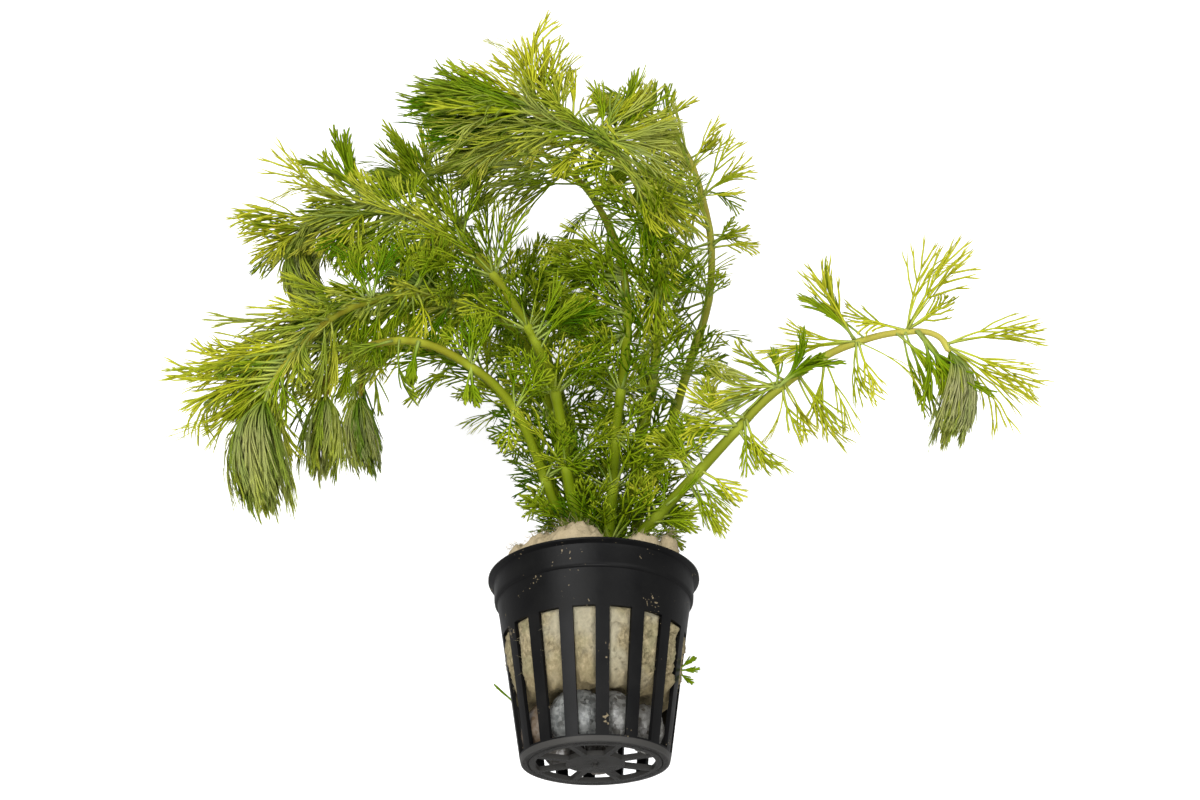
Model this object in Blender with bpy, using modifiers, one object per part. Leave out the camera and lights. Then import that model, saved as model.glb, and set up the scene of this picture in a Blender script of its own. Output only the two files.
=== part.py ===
"""Potted dwarf ambulia, an aquarium plant in a black net pot.

Nine branching stems are rooted in a plug of rock wool, which sits on ballast stones
in the pot. Each stem carries star-shaped whorls of leaves and ends in a tuft of young
leaves. +Z is up, the front of the plant faces -Y, and the origin is the centre of the
underside of the pot.
"""

import math

import bmesh
import bpy
from mathutils import Matrix, Vector, noise
from mathutils.bvhtree import BVHTree

MM = 0.001
GAP = 0.3 * MM

# The net pot, a thin injection-moulded cup
POT_HEIGHT = 49.0 * MM
RIM_RADIUS = 27.5 * MM
BAND_RADIUS = 25.8 * MM
LEDGE_HEIGHT = 41.8 * MM
LEDGE_ROUND = 0.3 * MM
BODY_TOP_RADIUS = 24.9 * MM
BASE_RADIUS = 18.5 * MM
WALL = 1.0 * MM
FLOOR = 1.2 * MM
LIP = 0.8 * MM
BASE_CHAMFER = 0.5 * MM
POT_STEPS = 32

# The slots in its wall, between the bars
BARS = 16
FIRST_BAR_DEG = 5.5
SLOT_LOW = 1.7 * MM
SLOT_HIGH = 32.5 * MM
SLOT_LOW_WIDTH = 4.2 * MM
SLOT_HIGH_WIDTH = 5.7 * MM
SLOT_CUT_DEPTH = 12.0 * MM

# The wheel in its base
SPOKES = 8
SPOKE_WIDTH = 1.5 * MM
RING_RADIUS = 14.9 * MM
DISC_RADIUS = 7.3 * MM

# The rock wool plug: its base, its top, and lumps of (x, y, height, spread)
WOOL_LOW = 14.6 * MM
WOOL_TOP = 49.5 * MM
WOOL_STEPS = 24
WOOL_LUMPS = (
    (-4.5, -15.5, 8.4, 7.0),
    (-13.0, -13.5, 6.6, 5.6),
    (-19.0, -8.5, 5.6, 4.6),
    (12.5, -16.0, 4.6, 5.5),
    (19.4, -8.8, 8.0, 4.0),
    (6.0, 14.0, 4.5, 7.0),
    (-9.0, 12.0, 5.0, 6.0),
)

# The ballast stones: centre and half sizes in mm, outwards, round and up, then a turn
STONES = {
    "front": ((-4.7, -11.3, 8.0), (4.8, 6.0, 6.2), -113.0),
    "front_right": ((5.4, -12.0, 7.6), (4.1, 3.7, 5.9), -66.0),
    "right": ((11.9, -6.6, 6.3), (3.6, 4.4, 4.7), -29.0),
    "left": ((-13.4, -4.2, 6.6), (3.7, 5.2, 5.0), 200.0),
    "back_left": ((-8.3, 7.3, 6.6), (5.0, 5.0, 5.0), 139.0),
    "middle": ((1.6, 2.4, 6.5), (3.9, 4.6, 4.9), 20.0),
    "back": ((0.8, 12.6, 6.0), (3.6, 4.6, 4.4), 86.0),
}
STONE_ROUGHNESS = 0.16

# The stems: radius at the root and at the tip, then the route from root to tip, in mm.
# The first stretch of each route is straight, and lies in its hole in the rock wool.
STEMS = {
    "left_low": (1.45, 0.8, (
        (-2, -5, 45), (-5, -6, 57), (-10, -9, 67), (-14, -13, 77), (-19, -18, 88),
        (-25, -22, 95), (-31, -25, 99), (-40, -27, 104), (-49, -28, 106),
        (-58, -29, 104), (-65, -30, 100), (-68, -31, 94), (-68, -32, 87),
    )),
    "left_mid": (1.5, 0.8, (
        (-1, 0, 45), (-3, 0, 61), (-7, 0, 78), (-13, 2, 106), (-18, 0, 120),
        (-26, -6, 127), (-36, -12, 128), (-47, -20, 126), (-57, -28, 119),
        (-65, -36, 110), (-72, -42, 98), (-77, -45, 87), (-80, -46, 78),
    )),
    "left_back": (1.35, 0.75, (
        (-4, 6, 45), (-6, 7, 65), (-12, 10, 84), (-18, 13, 100), (-26, 17, 114),
        (-37, 20, 127), (-49, 22, 134), (-59, 24, 136), (-66, 25, 132),
        (-69, 26, 127), (-69, 26, 120),
    )),
    "left_high": (1.55, 0.85, (
        (-2, -9, 45), (-3, -10, 57), (-5, -12, 65), (-7, -14, 76), (-8, -17, 86),
        (-10, -19, 96), (-13, -20, 105), (-17, -21, 114), (-27, -22, 131),
        (-41, -20, 146), (-56, -16, 157), (-67, -12, 162), (-75, -8, 161),
        (-80, -6, 157),
    )),
    "left_top": (1.45, 0.8, (
        (0, 9, 45), (-1, 10, 66), (-4, 13, 85), (-7, 17, 106), (-13, 21, 129),
        (-22, 25, 150), (-33, 30, 171), (-42, 33, 187), (-50, 35, 199),
        (-58, 36, 205),
    )),
    "centre": (1.5, 0.8, (
        (4, -8, 45), (4, -9, 57), (5, -10, 67), (6, -11, 80), (7, -12, 92),
        (9, -13, 108), (10, -12, 128), (8, -8, 148), (4, -3, 164), (-2, 3, 180),
        (-11, 8, 194), (-22, 12, 202),
    )),
    "top": (1.6, 0.85, (
        (5, 4, 45), (7, 3, 63), (11, 2, 79), (14, 0, 94), (17, -3, 108),
        (19, -8, 129), (18, -14, 144), (16, -20, 155), (11, -25, 164),
        (3, -30, 171), (-7, -34, 175), (-18, -37, 176),
    )),
    "right_top": (1.5, 0.8, (
        (9, 7, 45), (11, 8, 65), (15, 10, 80), (20, 12, 94), (24, 14, 108),
        (28, 15, 122), (35, 17, 146), (37, 18, 168), (35, 19, 188), (31, 20, 205),
        (25, 20, 214), (17, 20, 219),
    )),
    "right": (1.6, 0.8, (
        (9, -5, 45), (12, -6, 58), (17, -8, 63.5), (22, -10, 68.5), (27.5, -13, 73.5),
        (38, -18, 83.5), (44, -20, 89.5), (50.5, -21, 95), (57.5, -22, 100),
        (63.5, -22, 104), (70, -22, 107), (77.5, -22, 109.5), (84, -22, 110.5),
        (89.5, -22, 110.5), (93.5, -22, 108.5), (95.5, -22, 104),
    )),
}
STEM_SAMPLES = 16
ROUTE_STEPS = 12
HOLE_REACH = 1.6

# The tufts: where each ends, and its largest radius, in mm. A tuft sets off the way its
# stem points, and its shape is given as (share of its length, share of that radius).
TUFTS = {
    "left_low": ((-68, -32, 66), 5.0),
    "left_mid": ((-75, -47, 49), 7.5),
    "left_back": ((-65, 26, 95), 5.5),
    "left_high": ((-75, -8, 132), 5.0),
    "left_top": ((-73, 36, 206), 5.0),
    "centre": ((-47, 10, 193), 6.0),
    "top": ((-48, -40, 178), 7.0),
    "right_top": ((0, 20, 232), 5.0),
    "right": ((88, -23, 78), 6.0),
}
TUFT_BEND = 0.4
TUFT_SHAPE = ((0.0, 0.16), (0.15, 0.5), (0.4, 0.9), (0.65, 1.0), (0.88, 0.7), (1.0, 0.2))

# The whorls: how far up the stem, from 0 to 1, and the length of a leaf in mm
WHORLS = {
    "left_low": ((0.38, 14), (0.62, 18), (0.84, 20)),
    "left_mid": ((0.30, 13), (0.52, 20), (0.70, 30), (0.88, 36)),
    "left_back": ((0.40, 14), (0.66, 18), (0.88, 22)),
    "left_high": ((0.30, 14), (0.54, 20), (0.76, 32), (0.94, 30)),
    "left_top": ((0.45, 16), (0.70, 22), (0.92, 28)),
    "centre": ((0.30, 14), (0.56, 18), (0.82, 28)),
    "top": ((0.32, 14), (0.54, 20), (0.76, 30), (0.93, 42)),
    "right_top": ((0.32, 15), (0.54, 22), (0.76, 26), (0.93, 32)),
    "right": ((0.36, 16), (0.64, 26), (0.88, 36)),
}
LEAVES = 6
LEAF_THICKNESS = 0.8 * MM
LEAF_WIDTH = 3.2 * MM
LEAF_SHOULDER = 0.5
COLLAR = 1.0 * MM
COLLAR_SIDES = 8

# A leaf leans towards the tip of its stem, more the higher it grows, and sags at its end
ROOT_LEAN_DEG = 12.0
TIP_LEAN_DEG = 45.0
LEAF_SAG = 0.16

# What a whorl may try until it is clear of the rest: its size, then a slide, then a turn
WHORL_SIZES = (1.0, 0.92, 0.84, 0.76, 0.68, 0.6, 0.5)
WHORL_SLIDES = (0.0, 0.012, -0.012, 0.024, -0.024, 0.036, -0.036)
WHORL_TURNS = 12

# Sprigs that grew out through a slot: where each starts and ends, in mm
SPRIGS = {
    "right": ((21.2, -2.1, 25.0), (27.5, -3.0, 23.0)),
    "left": ((-20.1, 2.0, 17.0), (-26.0, 1.2, 22.0)),
}
SPRIG_WIDTH = 2.4 * MM
SPRIG_ROOT_WIDTH = 0.6 * MM
SPRIG_THICKNESS = 0.5 * MM

COLLECTION = "potted_dwarf_ambulia"


def clear_scene():
    for obj in list(bpy.data.objects):
        bpy.data.objects.remove(obj, do_unlink=True)


def new_collection(name):
    made = bpy.data.collections.new(name)
    bpy.context.scene.collection.children.link(made)
    return made


def material(name, colour, roughness):
    made = bpy.data.materials.new(name)
    made.use_nodes = True
    shader = made.node_tree.nodes["Principled BSDF"]
    shader.inputs["Base Color"].default_value = (*colour, 1.0)
    shader.inputs["Roughness"].default_value = roughness
    shader.inputs["Metallic"].default_value = 0.0
    return made


def add_object(name, data, collection, look=None):
    made = bpy.data.objects.new(name, data)
    collection.objects.link(made)
    if look:
        data.materials.clear()
        data.materials.append(look)
    return made


def evaluated_mesh(obj):
    """The object's shape with its modifiers, as a mesh whose loose caps are welded."""
    bpy.context.view_layer.update()
    graph = bpy.context.evaluated_depsgraph_get()
    mesh = bpy.data.meshes.new_from_object(obj.evaluated_get(graph))
    shape = bmesh.new()
    shape.from_mesh(mesh)
    bmesh.ops.remove_doubles(shape, verts=shape.verts, dist=0.01 * MM)
    shape.to_mesh(mesh)
    shape.free()
    return mesh


def as_mesh_object(obj, look=None):
    """Replaces a curve or a modified object by a plain mesh object of the same name."""
    mesh = evaluated_mesh(obj)
    name = obj.name
    place = obj.matrix_world.copy()
    collection = obj.users_collection[0]
    bpy.data.objects.remove(obj, do_unlink=True)
    made = add_object(name, mesh, collection, look)
    made.matrix_world = place
    return made


def make_cutter(obj):
    obj.hide_render = True
    obj.display_type = "WIRE"


def cut(obj, cutter):
    made = obj.modifiers.new("Cut " + cutter.name, "BOOLEAN")
    made.operation = "DIFFERENCE"
    made.solver = "EXACT"
    made.object = cutter


def turned(name, profile, steps, collection, look=None):
    """A profile of (radius, height) at +X, turned about Z. It runs down its outer side."""
    mesh = bpy.data.meshes.new(name)
    edges = [(i, i + 1) for i in range(len(profile) - 1)]
    mesh.from_pydata([(radius, 0.0, height) for radius, height in profile], edges, [])
    made = add_object(name, mesh, collection, look)
    screw = made.modifiers.new("Turn", "SCREW")
    screw.axis = "Z"
    screw.steps = steps
    screw.render_steps = steps
    screw.use_merge_vertices = True
    screw.merge_threshold = 0.00001
    screw.use_smooth_shade = True
    return made


def tube(name, points, radii, collection, look=None, resolution=2):
    """A round tube through points, whose radius changes along it."""
    widest = max(radii)
    curve = bpy.data.curves.new(name, "CURVE")
    curve.dimensions = "3D"
    curve.bevel_depth = widest
    curve.bevel_resolution = resolution
    curve.use_fill_caps = True
    spline = curve.splines.new("POLY")
    spline.points.add(len(points) - 1)
    for spot, point, radius in zip(spline.points, points, radii):
        spot.co = (*point, 1.0)
        spot.radius = radius / widest
    return add_object(name, curve, collection, look)


def flat_outline(name, outlines, thickness, collection, look=None):
    """A flat sheet bounded by closed outlines. An outline inside another is a hole."""
    curve = bpy.data.curves.new(name, "CURVE")
    curve.dimensions = "2D"
    curve.fill_mode = "BOTH"
    curve.extrude = thickness / 2
    for outline in outlines:
        spline = curve.splines.new("POLY")
        spline.points.add(len(outline) - 1)
        for spot, (x, y) in zip(spline.points, outline):
            spot.co = (x, y, 0.0, 1.0)
        spline.use_cyclic_u = True
    return add_object(name, curve, collection, look)


def on_circle(radius, degrees):
    angle = math.radians(degrees)
    return Vector((radius * math.cos(angle), radius * math.sin(angle)))


def smooth_route(points, samples):
    """Evenly spaced points on a smooth curve through the route's own points."""
    route = [Vector(point) * MM for point in points]
    route = [2 * route[0] - route[1], *route, 2 * route[-1] - route[-2]]
    fine = []
    for a, b, c, d in zip(route, route[1:], route[2:], route[3:]):
        for step in range(ROUTE_STEPS):
            t = step / ROUTE_STEPS
            fine.append(
                0.5 * (2 * b + (c - a) * t + (2 * a - 5 * b + 4 * c - d) * t**2
                       + (3 * b - a - 3 * c + d) * t**3)
            )
    fine.append(route[-2])
    lengths = [0.0]
    for start, end in zip(fine, fine[1:]):
        lengths.append(lengths[-1] + (end - start).length)
    return [along(fine, lengths, i / (samples - 1)) for i in range(samples)]


def along(points, lengths, share):
    """The point at this share of the whole length of a broken line."""
    target = share * lengths[-1]
    for i in range(1, len(points)):
        if lengths[i] >= target - 1e-9:
            step = (target - lengths[i - 1]) / (lengths[i] - lengths[i - 1])
            return points[i - 1].lerp(points[i], step)
    return points[-1].copy()


def pot_wall_radius(height):
    """The outer radius of the pot's tapered body at a height."""
    return BASE_RADIUS + (BODY_TOP_RADIUS - BASE_RADIUS) * height / LEDGE_HEIGHT


def make_pot(parts, cutters, look):
    inner_base = pot_wall_radius(FLOOR) - WALL
    profile = [
        (0.0, FLOOR),
        (inner_base, FLOOR),
        (BODY_TOP_RADIUS - WALL, LEDGE_HEIGHT),
        (BAND_RADIUS - WALL - LEDGE_ROUND, LEDGE_HEIGHT + WALL),
        (BAND_RADIUS - WALL, POT_HEIGHT - 2 * LIP),
        (RIM_RADIUS - WALL, POT_HEIGHT),
        (RIM_RADIUS, POT_HEIGHT - LIP / 4),
        (RIM_RADIUS, POT_HEIGHT - LIP),
        (BAND_RADIUS, POT_HEIGHT - 2.5 * LIP),
        (BAND_RADIUS - LEDGE_ROUND, LEDGE_HEIGHT + 2 * LEDGE_ROUND),
        (BAND_RADIUS - 2 * LEDGE_ROUND, LEDGE_HEIGHT),
        (BODY_TOP_RADIUS, LEDGE_HEIGHT - LEDGE_ROUND),
        (BASE_RADIUS, BASE_CHAMFER),
        (BASE_RADIUS - BASE_CHAMFER, 0.0),
        (0.0, 0.0),
    ]
    pot = turned("net_pot", profile, POT_STEPS, parts, look)
    for i in range(BARS):
        cut(pot, slot_cutter(i, cutters))
    for i in range(SPOKES):
        cut(pot, base_cutter(i, cutters))
    return pot


def slot_cutter(index, cutters):
    """A tapered block through the wall, between two bars."""
    name = f"slot_{index + 1}"
    bpy.ops.mesh.primitive_cube_add(size=1.0)
    block = bpy.context.object
    block.name = name
    for collection in block.users_collection:
        collection.objects.unlink(block)
    cutters.objects.link(block)
    middle = pot_wall_radius((SLOT_LOW + SLOT_HIGH) / 2)
    for vertex in block.data.vertices:
        high = vertex.co.z > 0
        vertex.co.x *= SLOT_CUT_DEPTH
        vertex.co.y *= SLOT_HIGH_WIDTH if high else SLOT_LOW_WIDTH
        vertex.co.z = SLOT_HIGH if high else SLOT_LOW
    turn = FIRST_BAR_DEG - 90.0 + 360.0 / BARS * (index + 0.5)
    block.location = on_circle(middle, turn).to_3d()
    block.rotation_euler.z = math.radians(turn)
    make_cutter(block)
    return block


def base_cutter(index, cutters):
    """One opening of the wheel: a ring sector with straight sides along its spokes."""
    middle = -90.0 + 360.0 / SPOKES * index
    outline = []
    for radius, order in ((DISC_RADIUS, 1), (RING_RADIUS, -1)):
        spread = 180.0 / SPOKES - math.degrees(math.asin(SPOKE_WIDTH / 2 / radius))
        for share in (-1.0, -0.5, 0.0, 0.5, 1.0):
            outline.append(on_circle(radius, middle + order * share * spread))
    sector = flat_outline(f"base_opening_{index + 1}", [outline], 4 * FLOOR, cutters)
    sector = as_mesh_object(sector)
    make_cutter(sector)
    return sector


def make_wool(parts, cutters, look):
    """A soft plug that fills the pot and stands proud of its rim in lumps."""
    low_radius = pot_wall_radius(WOOL_LOW) - WALL - GAP
    high_radius = BODY_TOP_RADIUS - WALL - GAP
    profile = [(0.0, WOOL_TOP)]
    profile += [(share * high_radius, WOOL_TOP) for share in (0.25, 0.5, 0.75, 0.93)]
    profile += [
        (high_radius, WOOL_TOP - 2.0 * MM),
        (high_radius, LEDGE_HEIGHT),
        (low_radius, WOOL_LOW + 1.0 * MM),
        (low_radius - 1.5 * MM, WOOL_LOW),
        (0.0, WOOL_LOW),
    ]
    wool = as_mesh_object(turned("rock_wool", profile, WOOL_STEPS, parts), look)
    for vertex in wool.data.vertices:
        if vertex.co.z > WOOL_TOP - 1.0 * MM:
            vertex.co.z += lump_height(vertex.co.x, vertex.co.y)
    for name, (root, _, route) in STEMS.items():
        cut(wool, stem_hole(name, root, route, cutters))
    return wool


def lump_height(x, y):
    heights = []
    for lump_x, lump_y, height, spread in WOOL_LUMPS:
        apart = (Vector((x, y)) - Vector((lump_x, lump_y)) * MM).length / (spread * MM)
        heights.append(height * MM * math.exp(-apart * apart))
    return max(heights)


def stem_hole(name, root, route, cutters):
    """A straight hole along the stretch of the stem that is in the rock wool."""
    start = Vector(route[0]) * MM
    end = Vector(route[1]) * MM
    low = start + (start - end).normalized() * 2 * GAP
    high = start.lerp(end, HOLE_REACH)
    radius = root * MM + GAP
    hole = tube("hole_" + name, [low, high], [radius, radius * 1.15], cutters)
    hole = as_mesh_object(hole)
    make_cutter(hole)
    return hole


def make_stone(name, place, parts, look):
    centre, sizes, turn = place
    shape = bmesh.new()
    bmesh.ops.create_icosphere(shape, subdivisions=2, radius=1.0)
    seed = Vector(centre)
    for vertex in shape.verts:
        vertex.co *= 1.0 - STONE_ROUGHNESS * (0.5 + noise.noise(vertex.co * 1.3 + seed))
        vertex.co = Vector(a * b * MM for a, b in zip(vertex.co, sizes))
    mesh = bpy.data.meshes.new("stone_" + name)
    shape.to_mesh(mesh)
    shape.free()
    stone = add_object("stone_" + name, mesh, parts, look)
    stone.location = Vector(centre) * MM
    stone.rotation_euler.z = math.radians(turn)
    return stone


def make_stem(name, parts, look):
    root, tip, route = STEMS[name]
    points = smooth_route(route, STEM_SAMPLES)
    radii = [
        (root + (tip - root) * i / (STEM_SAMPLES - 1)) * MM for i in range(STEM_SAMPLES)
    ]
    return tube("stem_" + name, points, radii, parts, look)


def make_tuft(name, parts, look):
    """A spindle of young leaves that starts just past the end of its stem."""
    end, widest = TUFTS[name]
    route = smooth_route(STEMS[name][2], 40)
    heading = (route[-1] - route[-2]).normalized()
    start = route[-1] + heading * 2 * GAP
    finish = Vector(end) * MM
    bend = start + heading * (finish - start).length * TUFT_BEND
    points = []
    radii = []
    for share, width in TUFT_SHAPE:
        points.append(start.lerp(bend, share).lerp(bend.lerp(finish, share), share))
        radii.append(width * widest * MM)
    return tube("tuft_" + name, points, radii, parts, look)


def star_outline(hole, length):
    """Leaves round a collar: the valley before each leaf, two shoulders and a point."""
    outline = []
    collar = hole + COLLAR
    shoulder = collar + LEAF_SHOULDER * length
    shoulder_half = math.degrees(LEAF_WIDTH / 2 / shoulder)
    for i in range(LEAVES):
        middle = 360.0 / LEAVES * i
        outline.append(on_circle(collar, middle - 180.0 / LEAVES))
        outline.append(on_circle(shoulder, middle - shoulder_half))
        outline.append(on_circle(collar + length, middle))
        outline.append(on_circle(shoulder, middle + shoulder_half))
    return outline


def bent_star(flat, place, reach, share, grow):
    """The flat star leant towards the tip of its stem, put in place, and sagged."""
    shape = bmesh.new()
    shape.from_mesh(flat)
    if grow:
        shape.normal_update()
        for vertex in shape.verts:
            vertex.co += vertex.normal * grow
    lean = math.radians(ROOT_LEAN_DEG + (TIP_LEAN_DEG - ROOT_LEAN_DEG) * share)
    for vertex in shape.verts:
        out = vertex.co.xy.length
        vertex.co = Vector((
            vertex.co.x * math.cos(lean),
            vertex.co.y * math.cos(lean),
            vertex.co.z + out * math.sin(lean),
        ))
        vertex.co = place @ vertex.co
        vertex.co.z -= LEAF_SAG * reach * (out / reach) ** 2
    return shape


def stem_frame(points, share, turn):
    """Where a whorl sits: on the stem, square to it, and turned about it."""
    lengths = [0.0]
    for start, end in zip(points, points[1:]):
        lengths.append(lengths[-1] + (end - start).length)
    spot = along(points, lengths, share)
    ahead = along(points, lengths, min(1.0, share + 0.01))
    behind = along(points, lengths, share - 0.01)
    facing = (ahead - behind).to_track_quat("Z", "Y")
    return (
        Matrix.Translation(spot) @ facing.to_matrix().to_4x4() @ Matrix.Rotation(turn, 4, "Z")
    )


def surface_of(obj):
    """What later pieces have to keep clear of, in world space."""
    mesh = evaluated_mesh(obj)
    mesh.transform(obj.matrix_world)
    shape = bmesh.new()
    shape.from_mesh(mesh)
    tree = BVHTree.FromBMesh(shape)
    shape.free()
    bpy.data.meshes.remove(mesh)
    return tree


def make_whorl(stem, number, share, length, taken, parts, look):
    """A star of leaves, turned, shortened or slid along its stem until it is clear."""
    root, tip, route = STEMS[stem]
    points = smooth_route(route, STEM_SAMPLES)
    hole = (root + (tip - root) * share) * MM + 3 * GAP
    name = f"whorl_{stem}_{number}"
    for size in WHORL_SIZES:
        reach = hole + COLLAR + length * size * MM
        outlines = [
            star_outline(hole, length * size * MM),
            [on_circle(hole, 360.0 / COLLAR_SIDES * i) for i in range(COLLAR_SIDES)],
        ]
        flat_object = flat_outline(name, outlines, LEAF_THICKNESS, parts)
        flat = evaluated_mesh(flat_object)
        bpy.data.objects.remove(flat_object, do_unlink=True)
        for slide in WHORL_SLIDES:
            for step in range(WHORL_TURNS):
                turn = math.radians(360.0 / LEAVES / WHORL_TURNS * step)
                place = stem_frame(points, share + slide, turn)
                trial = bent_star(flat, place, reach, share, GAP)
                tree = BVHTree.FromBMesh(trial)
                trial.free()
                if any(tree.overlap(other) for other in taken):
                    continue
                shape = bent_star(flat, place, reach, share, 0.0)
                shape.to_mesh(flat)
                taken.append(BVHTree.FromBMesh(shape))
                shape.free()
                return add_object(name, flat, parts, look)
        bpy.data.meshes.remove(flat)
    raise RuntimeError(name + " has no room")


def make_sprig(name, parts, look):
    """A small leaf that lies in a slot and points outwards."""
    start, end = (Vector(point) * MM for point in SPRIGS[name])
    length = (end - start).length
    shoulder = LEAF_SHOULDER * length
    outline = [
        (0.0, -SPRIG_ROOT_WIDTH / 2),
        (shoulder, -SPRIG_WIDTH / 2),
        (length, 0.0),
        (shoulder, SPRIG_WIDTH / 2),
        (0.0, SPRIG_ROOT_WIDTH / 2),
    ]
    sprig = flat_outline("sprig_" + name, [outline], SPRIG_THICKNESS, parts, look)
    sprig.location = start
    sprig.rotation_mode = "QUATERNION"
    sprig.rotation_quaternion = (end - start).to_track_quat("X", "Y")
    return as_mesh_object(sprig, look)


def main():
    clear_scene()
    parts = new_collection(COLLECTION)
    cutters = new_collection("cutters")
    cutters.hide_render = True
    plastic = material("black_plastic", (0.018, 0.018, 0.018), 0.4)
    wool = material("rock_wool", (0.37, 0.30, 0.19), 0.95)
    stone = material("granite", (0.25, 0.25, 0.24), 0.7)
    green = material("stem_green", (0.17, 0.23, 0.01), 0.5)
    leaf = material("leaf_green", (0.13, 0.21, 0.01), 0.55)
    solids = [make_pot(parts, cutters, plastic), make_wool(parts, cutters, wool)]
    solids += [make_stone(name, place, parts, stone) for name, place in STONES.items()]
    solids += [make_sprig(name, parts, leaf) for name in SPRIGS]
    solids += [make_stem(name, parts, green) for name in STEMS]
    solids += [make_tuft(name, parts, leaf) for name in TUFTS]
    taken = [surface_of(obj) for obj in solids]
    for stem, whorls in WHORLS.items():
        for number, (share, length) in enumerate(whorls, 1):
            make_whorl(stem, number, share, length, taken, parts, leaf)


main()
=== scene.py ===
"""The finished look of a potted dwarf ambulia, built round its CAD frame.

The frame gives the real size and place of every piece. This script makes the net pot,
the rock wool, the ballast stones, the stems and every dissected leaf as meshes with
procedural materials, then a studio with a camera at the photograph's viewing angle.
"""

import math

import bmesh
import bpy
import numpy as np
from mathutils import Matrix, Vector, noise


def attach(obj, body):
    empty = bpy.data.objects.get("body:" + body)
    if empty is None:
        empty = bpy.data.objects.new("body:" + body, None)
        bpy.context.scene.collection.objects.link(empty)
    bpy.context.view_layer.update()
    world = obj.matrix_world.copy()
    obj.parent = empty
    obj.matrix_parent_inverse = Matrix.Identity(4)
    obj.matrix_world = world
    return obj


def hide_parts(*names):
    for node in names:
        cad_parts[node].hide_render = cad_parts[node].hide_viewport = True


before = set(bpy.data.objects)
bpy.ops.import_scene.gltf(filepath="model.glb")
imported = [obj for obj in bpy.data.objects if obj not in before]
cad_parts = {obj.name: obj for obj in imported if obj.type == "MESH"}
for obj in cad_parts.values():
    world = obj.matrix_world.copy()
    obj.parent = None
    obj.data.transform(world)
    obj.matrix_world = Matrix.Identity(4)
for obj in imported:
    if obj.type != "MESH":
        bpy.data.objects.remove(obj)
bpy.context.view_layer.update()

MM = 0.001
FRONT = np.array((0.0, -1.0, 0.0))
RIGHT = np.array((1.0, 0.0, 0.0))

# Camera: place in mm, angle above the horizon, roll, then lens and sensor width in mm
CAMERA_PLACE = (2.2, -387.5, -118.7)
CAMERA_PITCH_DEG = 29.8
CAMERA_ROLL_DEG = -0.7
CAMERA_LENS = 48.21
CAMERA_SENSOR = 36.0

# The stems, as in the CAD: radius at the root and at the tip, then the route, in mm
STEMS = {
    "left_low": (1.45, 0.8, (
        (-2, -5, 45), (-5, -6, 57), (-10, -9, 67), (-14, -13, 77), (-19, -18, 88),
        (-25, -22, 95), (-31, -25, 99), (-40, -27, 104), (-49, -28, 106),
        (-58, -29, 104), (-65, -30, 100), (-68, -31, 94), (-68, -32, 87),
    )),
    "left_mid": (1.5, 0.8, (
        (-1, 0, 45), (-3, 0, 61), (-7, 0, 78), (-13, 2, 106), (-18, 0, 120),
        (-26, -6, 127), (-36, -12, 128), (-47, -20, 126), (-57, -28, 119),
        (-65, -36, 110), (-72, -42, 98), (-77, -45, 87), (-80, -46, 78),
    )),
    "left_back": (1.35, 0.75, (
        (-4, 6, 45), (-6, 7, 65), (-12, 10, 84), (-18, 13, 100), (-26, 17, 114),
        (-37, 20, 127), (-49, 22, 134), (-59, 24, 136), (-66, 25, 132),
        (-69, 26, 127), (-69, 26, 120),
    )),
    "left_high": (1.55, 0.85, (
        (-2, -9, 45), (-3, -10, 57), (-5, -12, 65), (-7, -14, 76), (-8, -17, 86),
        (-10, -19, 96), (-13, -20, 105), (-17, -21, 114), (-27, -22, 131),
        (-41, -20, 146), (-56, -16, 157), (-67, -12, 162), (-75, -8, 161),
        (-80, -6, 157),
    )),
    "left_top": (1.45, 0.8, (
        (0, 9, 45), (-1, 10, 66), (-4, 13, 85), (-7, 17, 106), (-13, 21, 129),
        (-22, 25, 150), (-33, 30, 171), (-42, 33, 187), (-50, 35, 199),
        (-58, 36, 205),
    )),
    "centre": (1.5, 0.8, (
        (4, -8, 45), (4, -9, 57), (5, -10, 67), (6, -11, 80), (7, -12, 92),
        (9, -13, 108), (10, -12, 128), (8, -8, 148), (4, -3, 164), (-2, 3, 180),
        (-11, 8, 194), (-22, 12, 202),
    )),
    "top": (1.6, 0.85, (
        (5, 4, 45), (7, 3, 63), (11, 2, 79), (14, 0, 94), (17, -3, 108),
        (19, -8, 129), (18, -14, 144), (16, -20, 155), (11, -25, 164),
        (3, -30, 171), (-7, -34, 175), (-18, -37, 176),
    )),
    "right_top": (1.5, 0.8, (
        (9, 7, 45), (11, 8, 65), (15, 10, 80), (20, 12, 94), (24, 14, 108),
        (28, 15, 122), (35, 17, 146), (37, 18, 168), (35, 19, 188), (31, 20, 205),
        (25, 20, 214), (17, 20, 219),
    )),
    "right": (1.6, 0.8, (
        (9, -5, 45), (12, -6, 58), (17, -8, 63.5), (22, -10, 68.5), (27.5, -13, 73.5),
        (38, -18, 83.5), (44, -20, 89.5), (50.5, -21, 95), (57.5, -22, 100),
        (63.5, -22, 104), (70, -22, 107), (77.5, -22, 109.5), (84, -22, 110.5),
        (89.5, -22, 110.5), (93.5, -22, 108.5), (95.5, -22, 104),
    )),
}

# Where each tuft ends, in mm, its largest radius, and its leaves' number, tone and wetness, which
# paints a pale sheen on them
TUFTS = {
    "left_low": ((-68, -32, 67), 4.4, 26, 0.6, 0.7),
    "left_mid": ((-75, -47, 51), 5.0, 60, 0.5, 0.8),
    "left_back": ((-65, 26, 97), 4.0, 34, 0.4, 0.85),
    "left_high": ((-72, -8, 131), 4.2, 28, 0.6, 0.7),
    "left_top": ((-73, 36, 206), 4.5, 20, 0.3, 0.5),
    "centre": ((-47, 10, 193), 6.0, 22, 0.5, 0.4),
    "top": ((-48, -40, 178), 7.0, 24, 0.35, 0.1),
    "right_top": ((2, 20, 231), 4.0, 10, 0.7, 0.0),
    "right": ((89.5, -23, 79), 4.0, 34, 0.6, 0.95),
}

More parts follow.
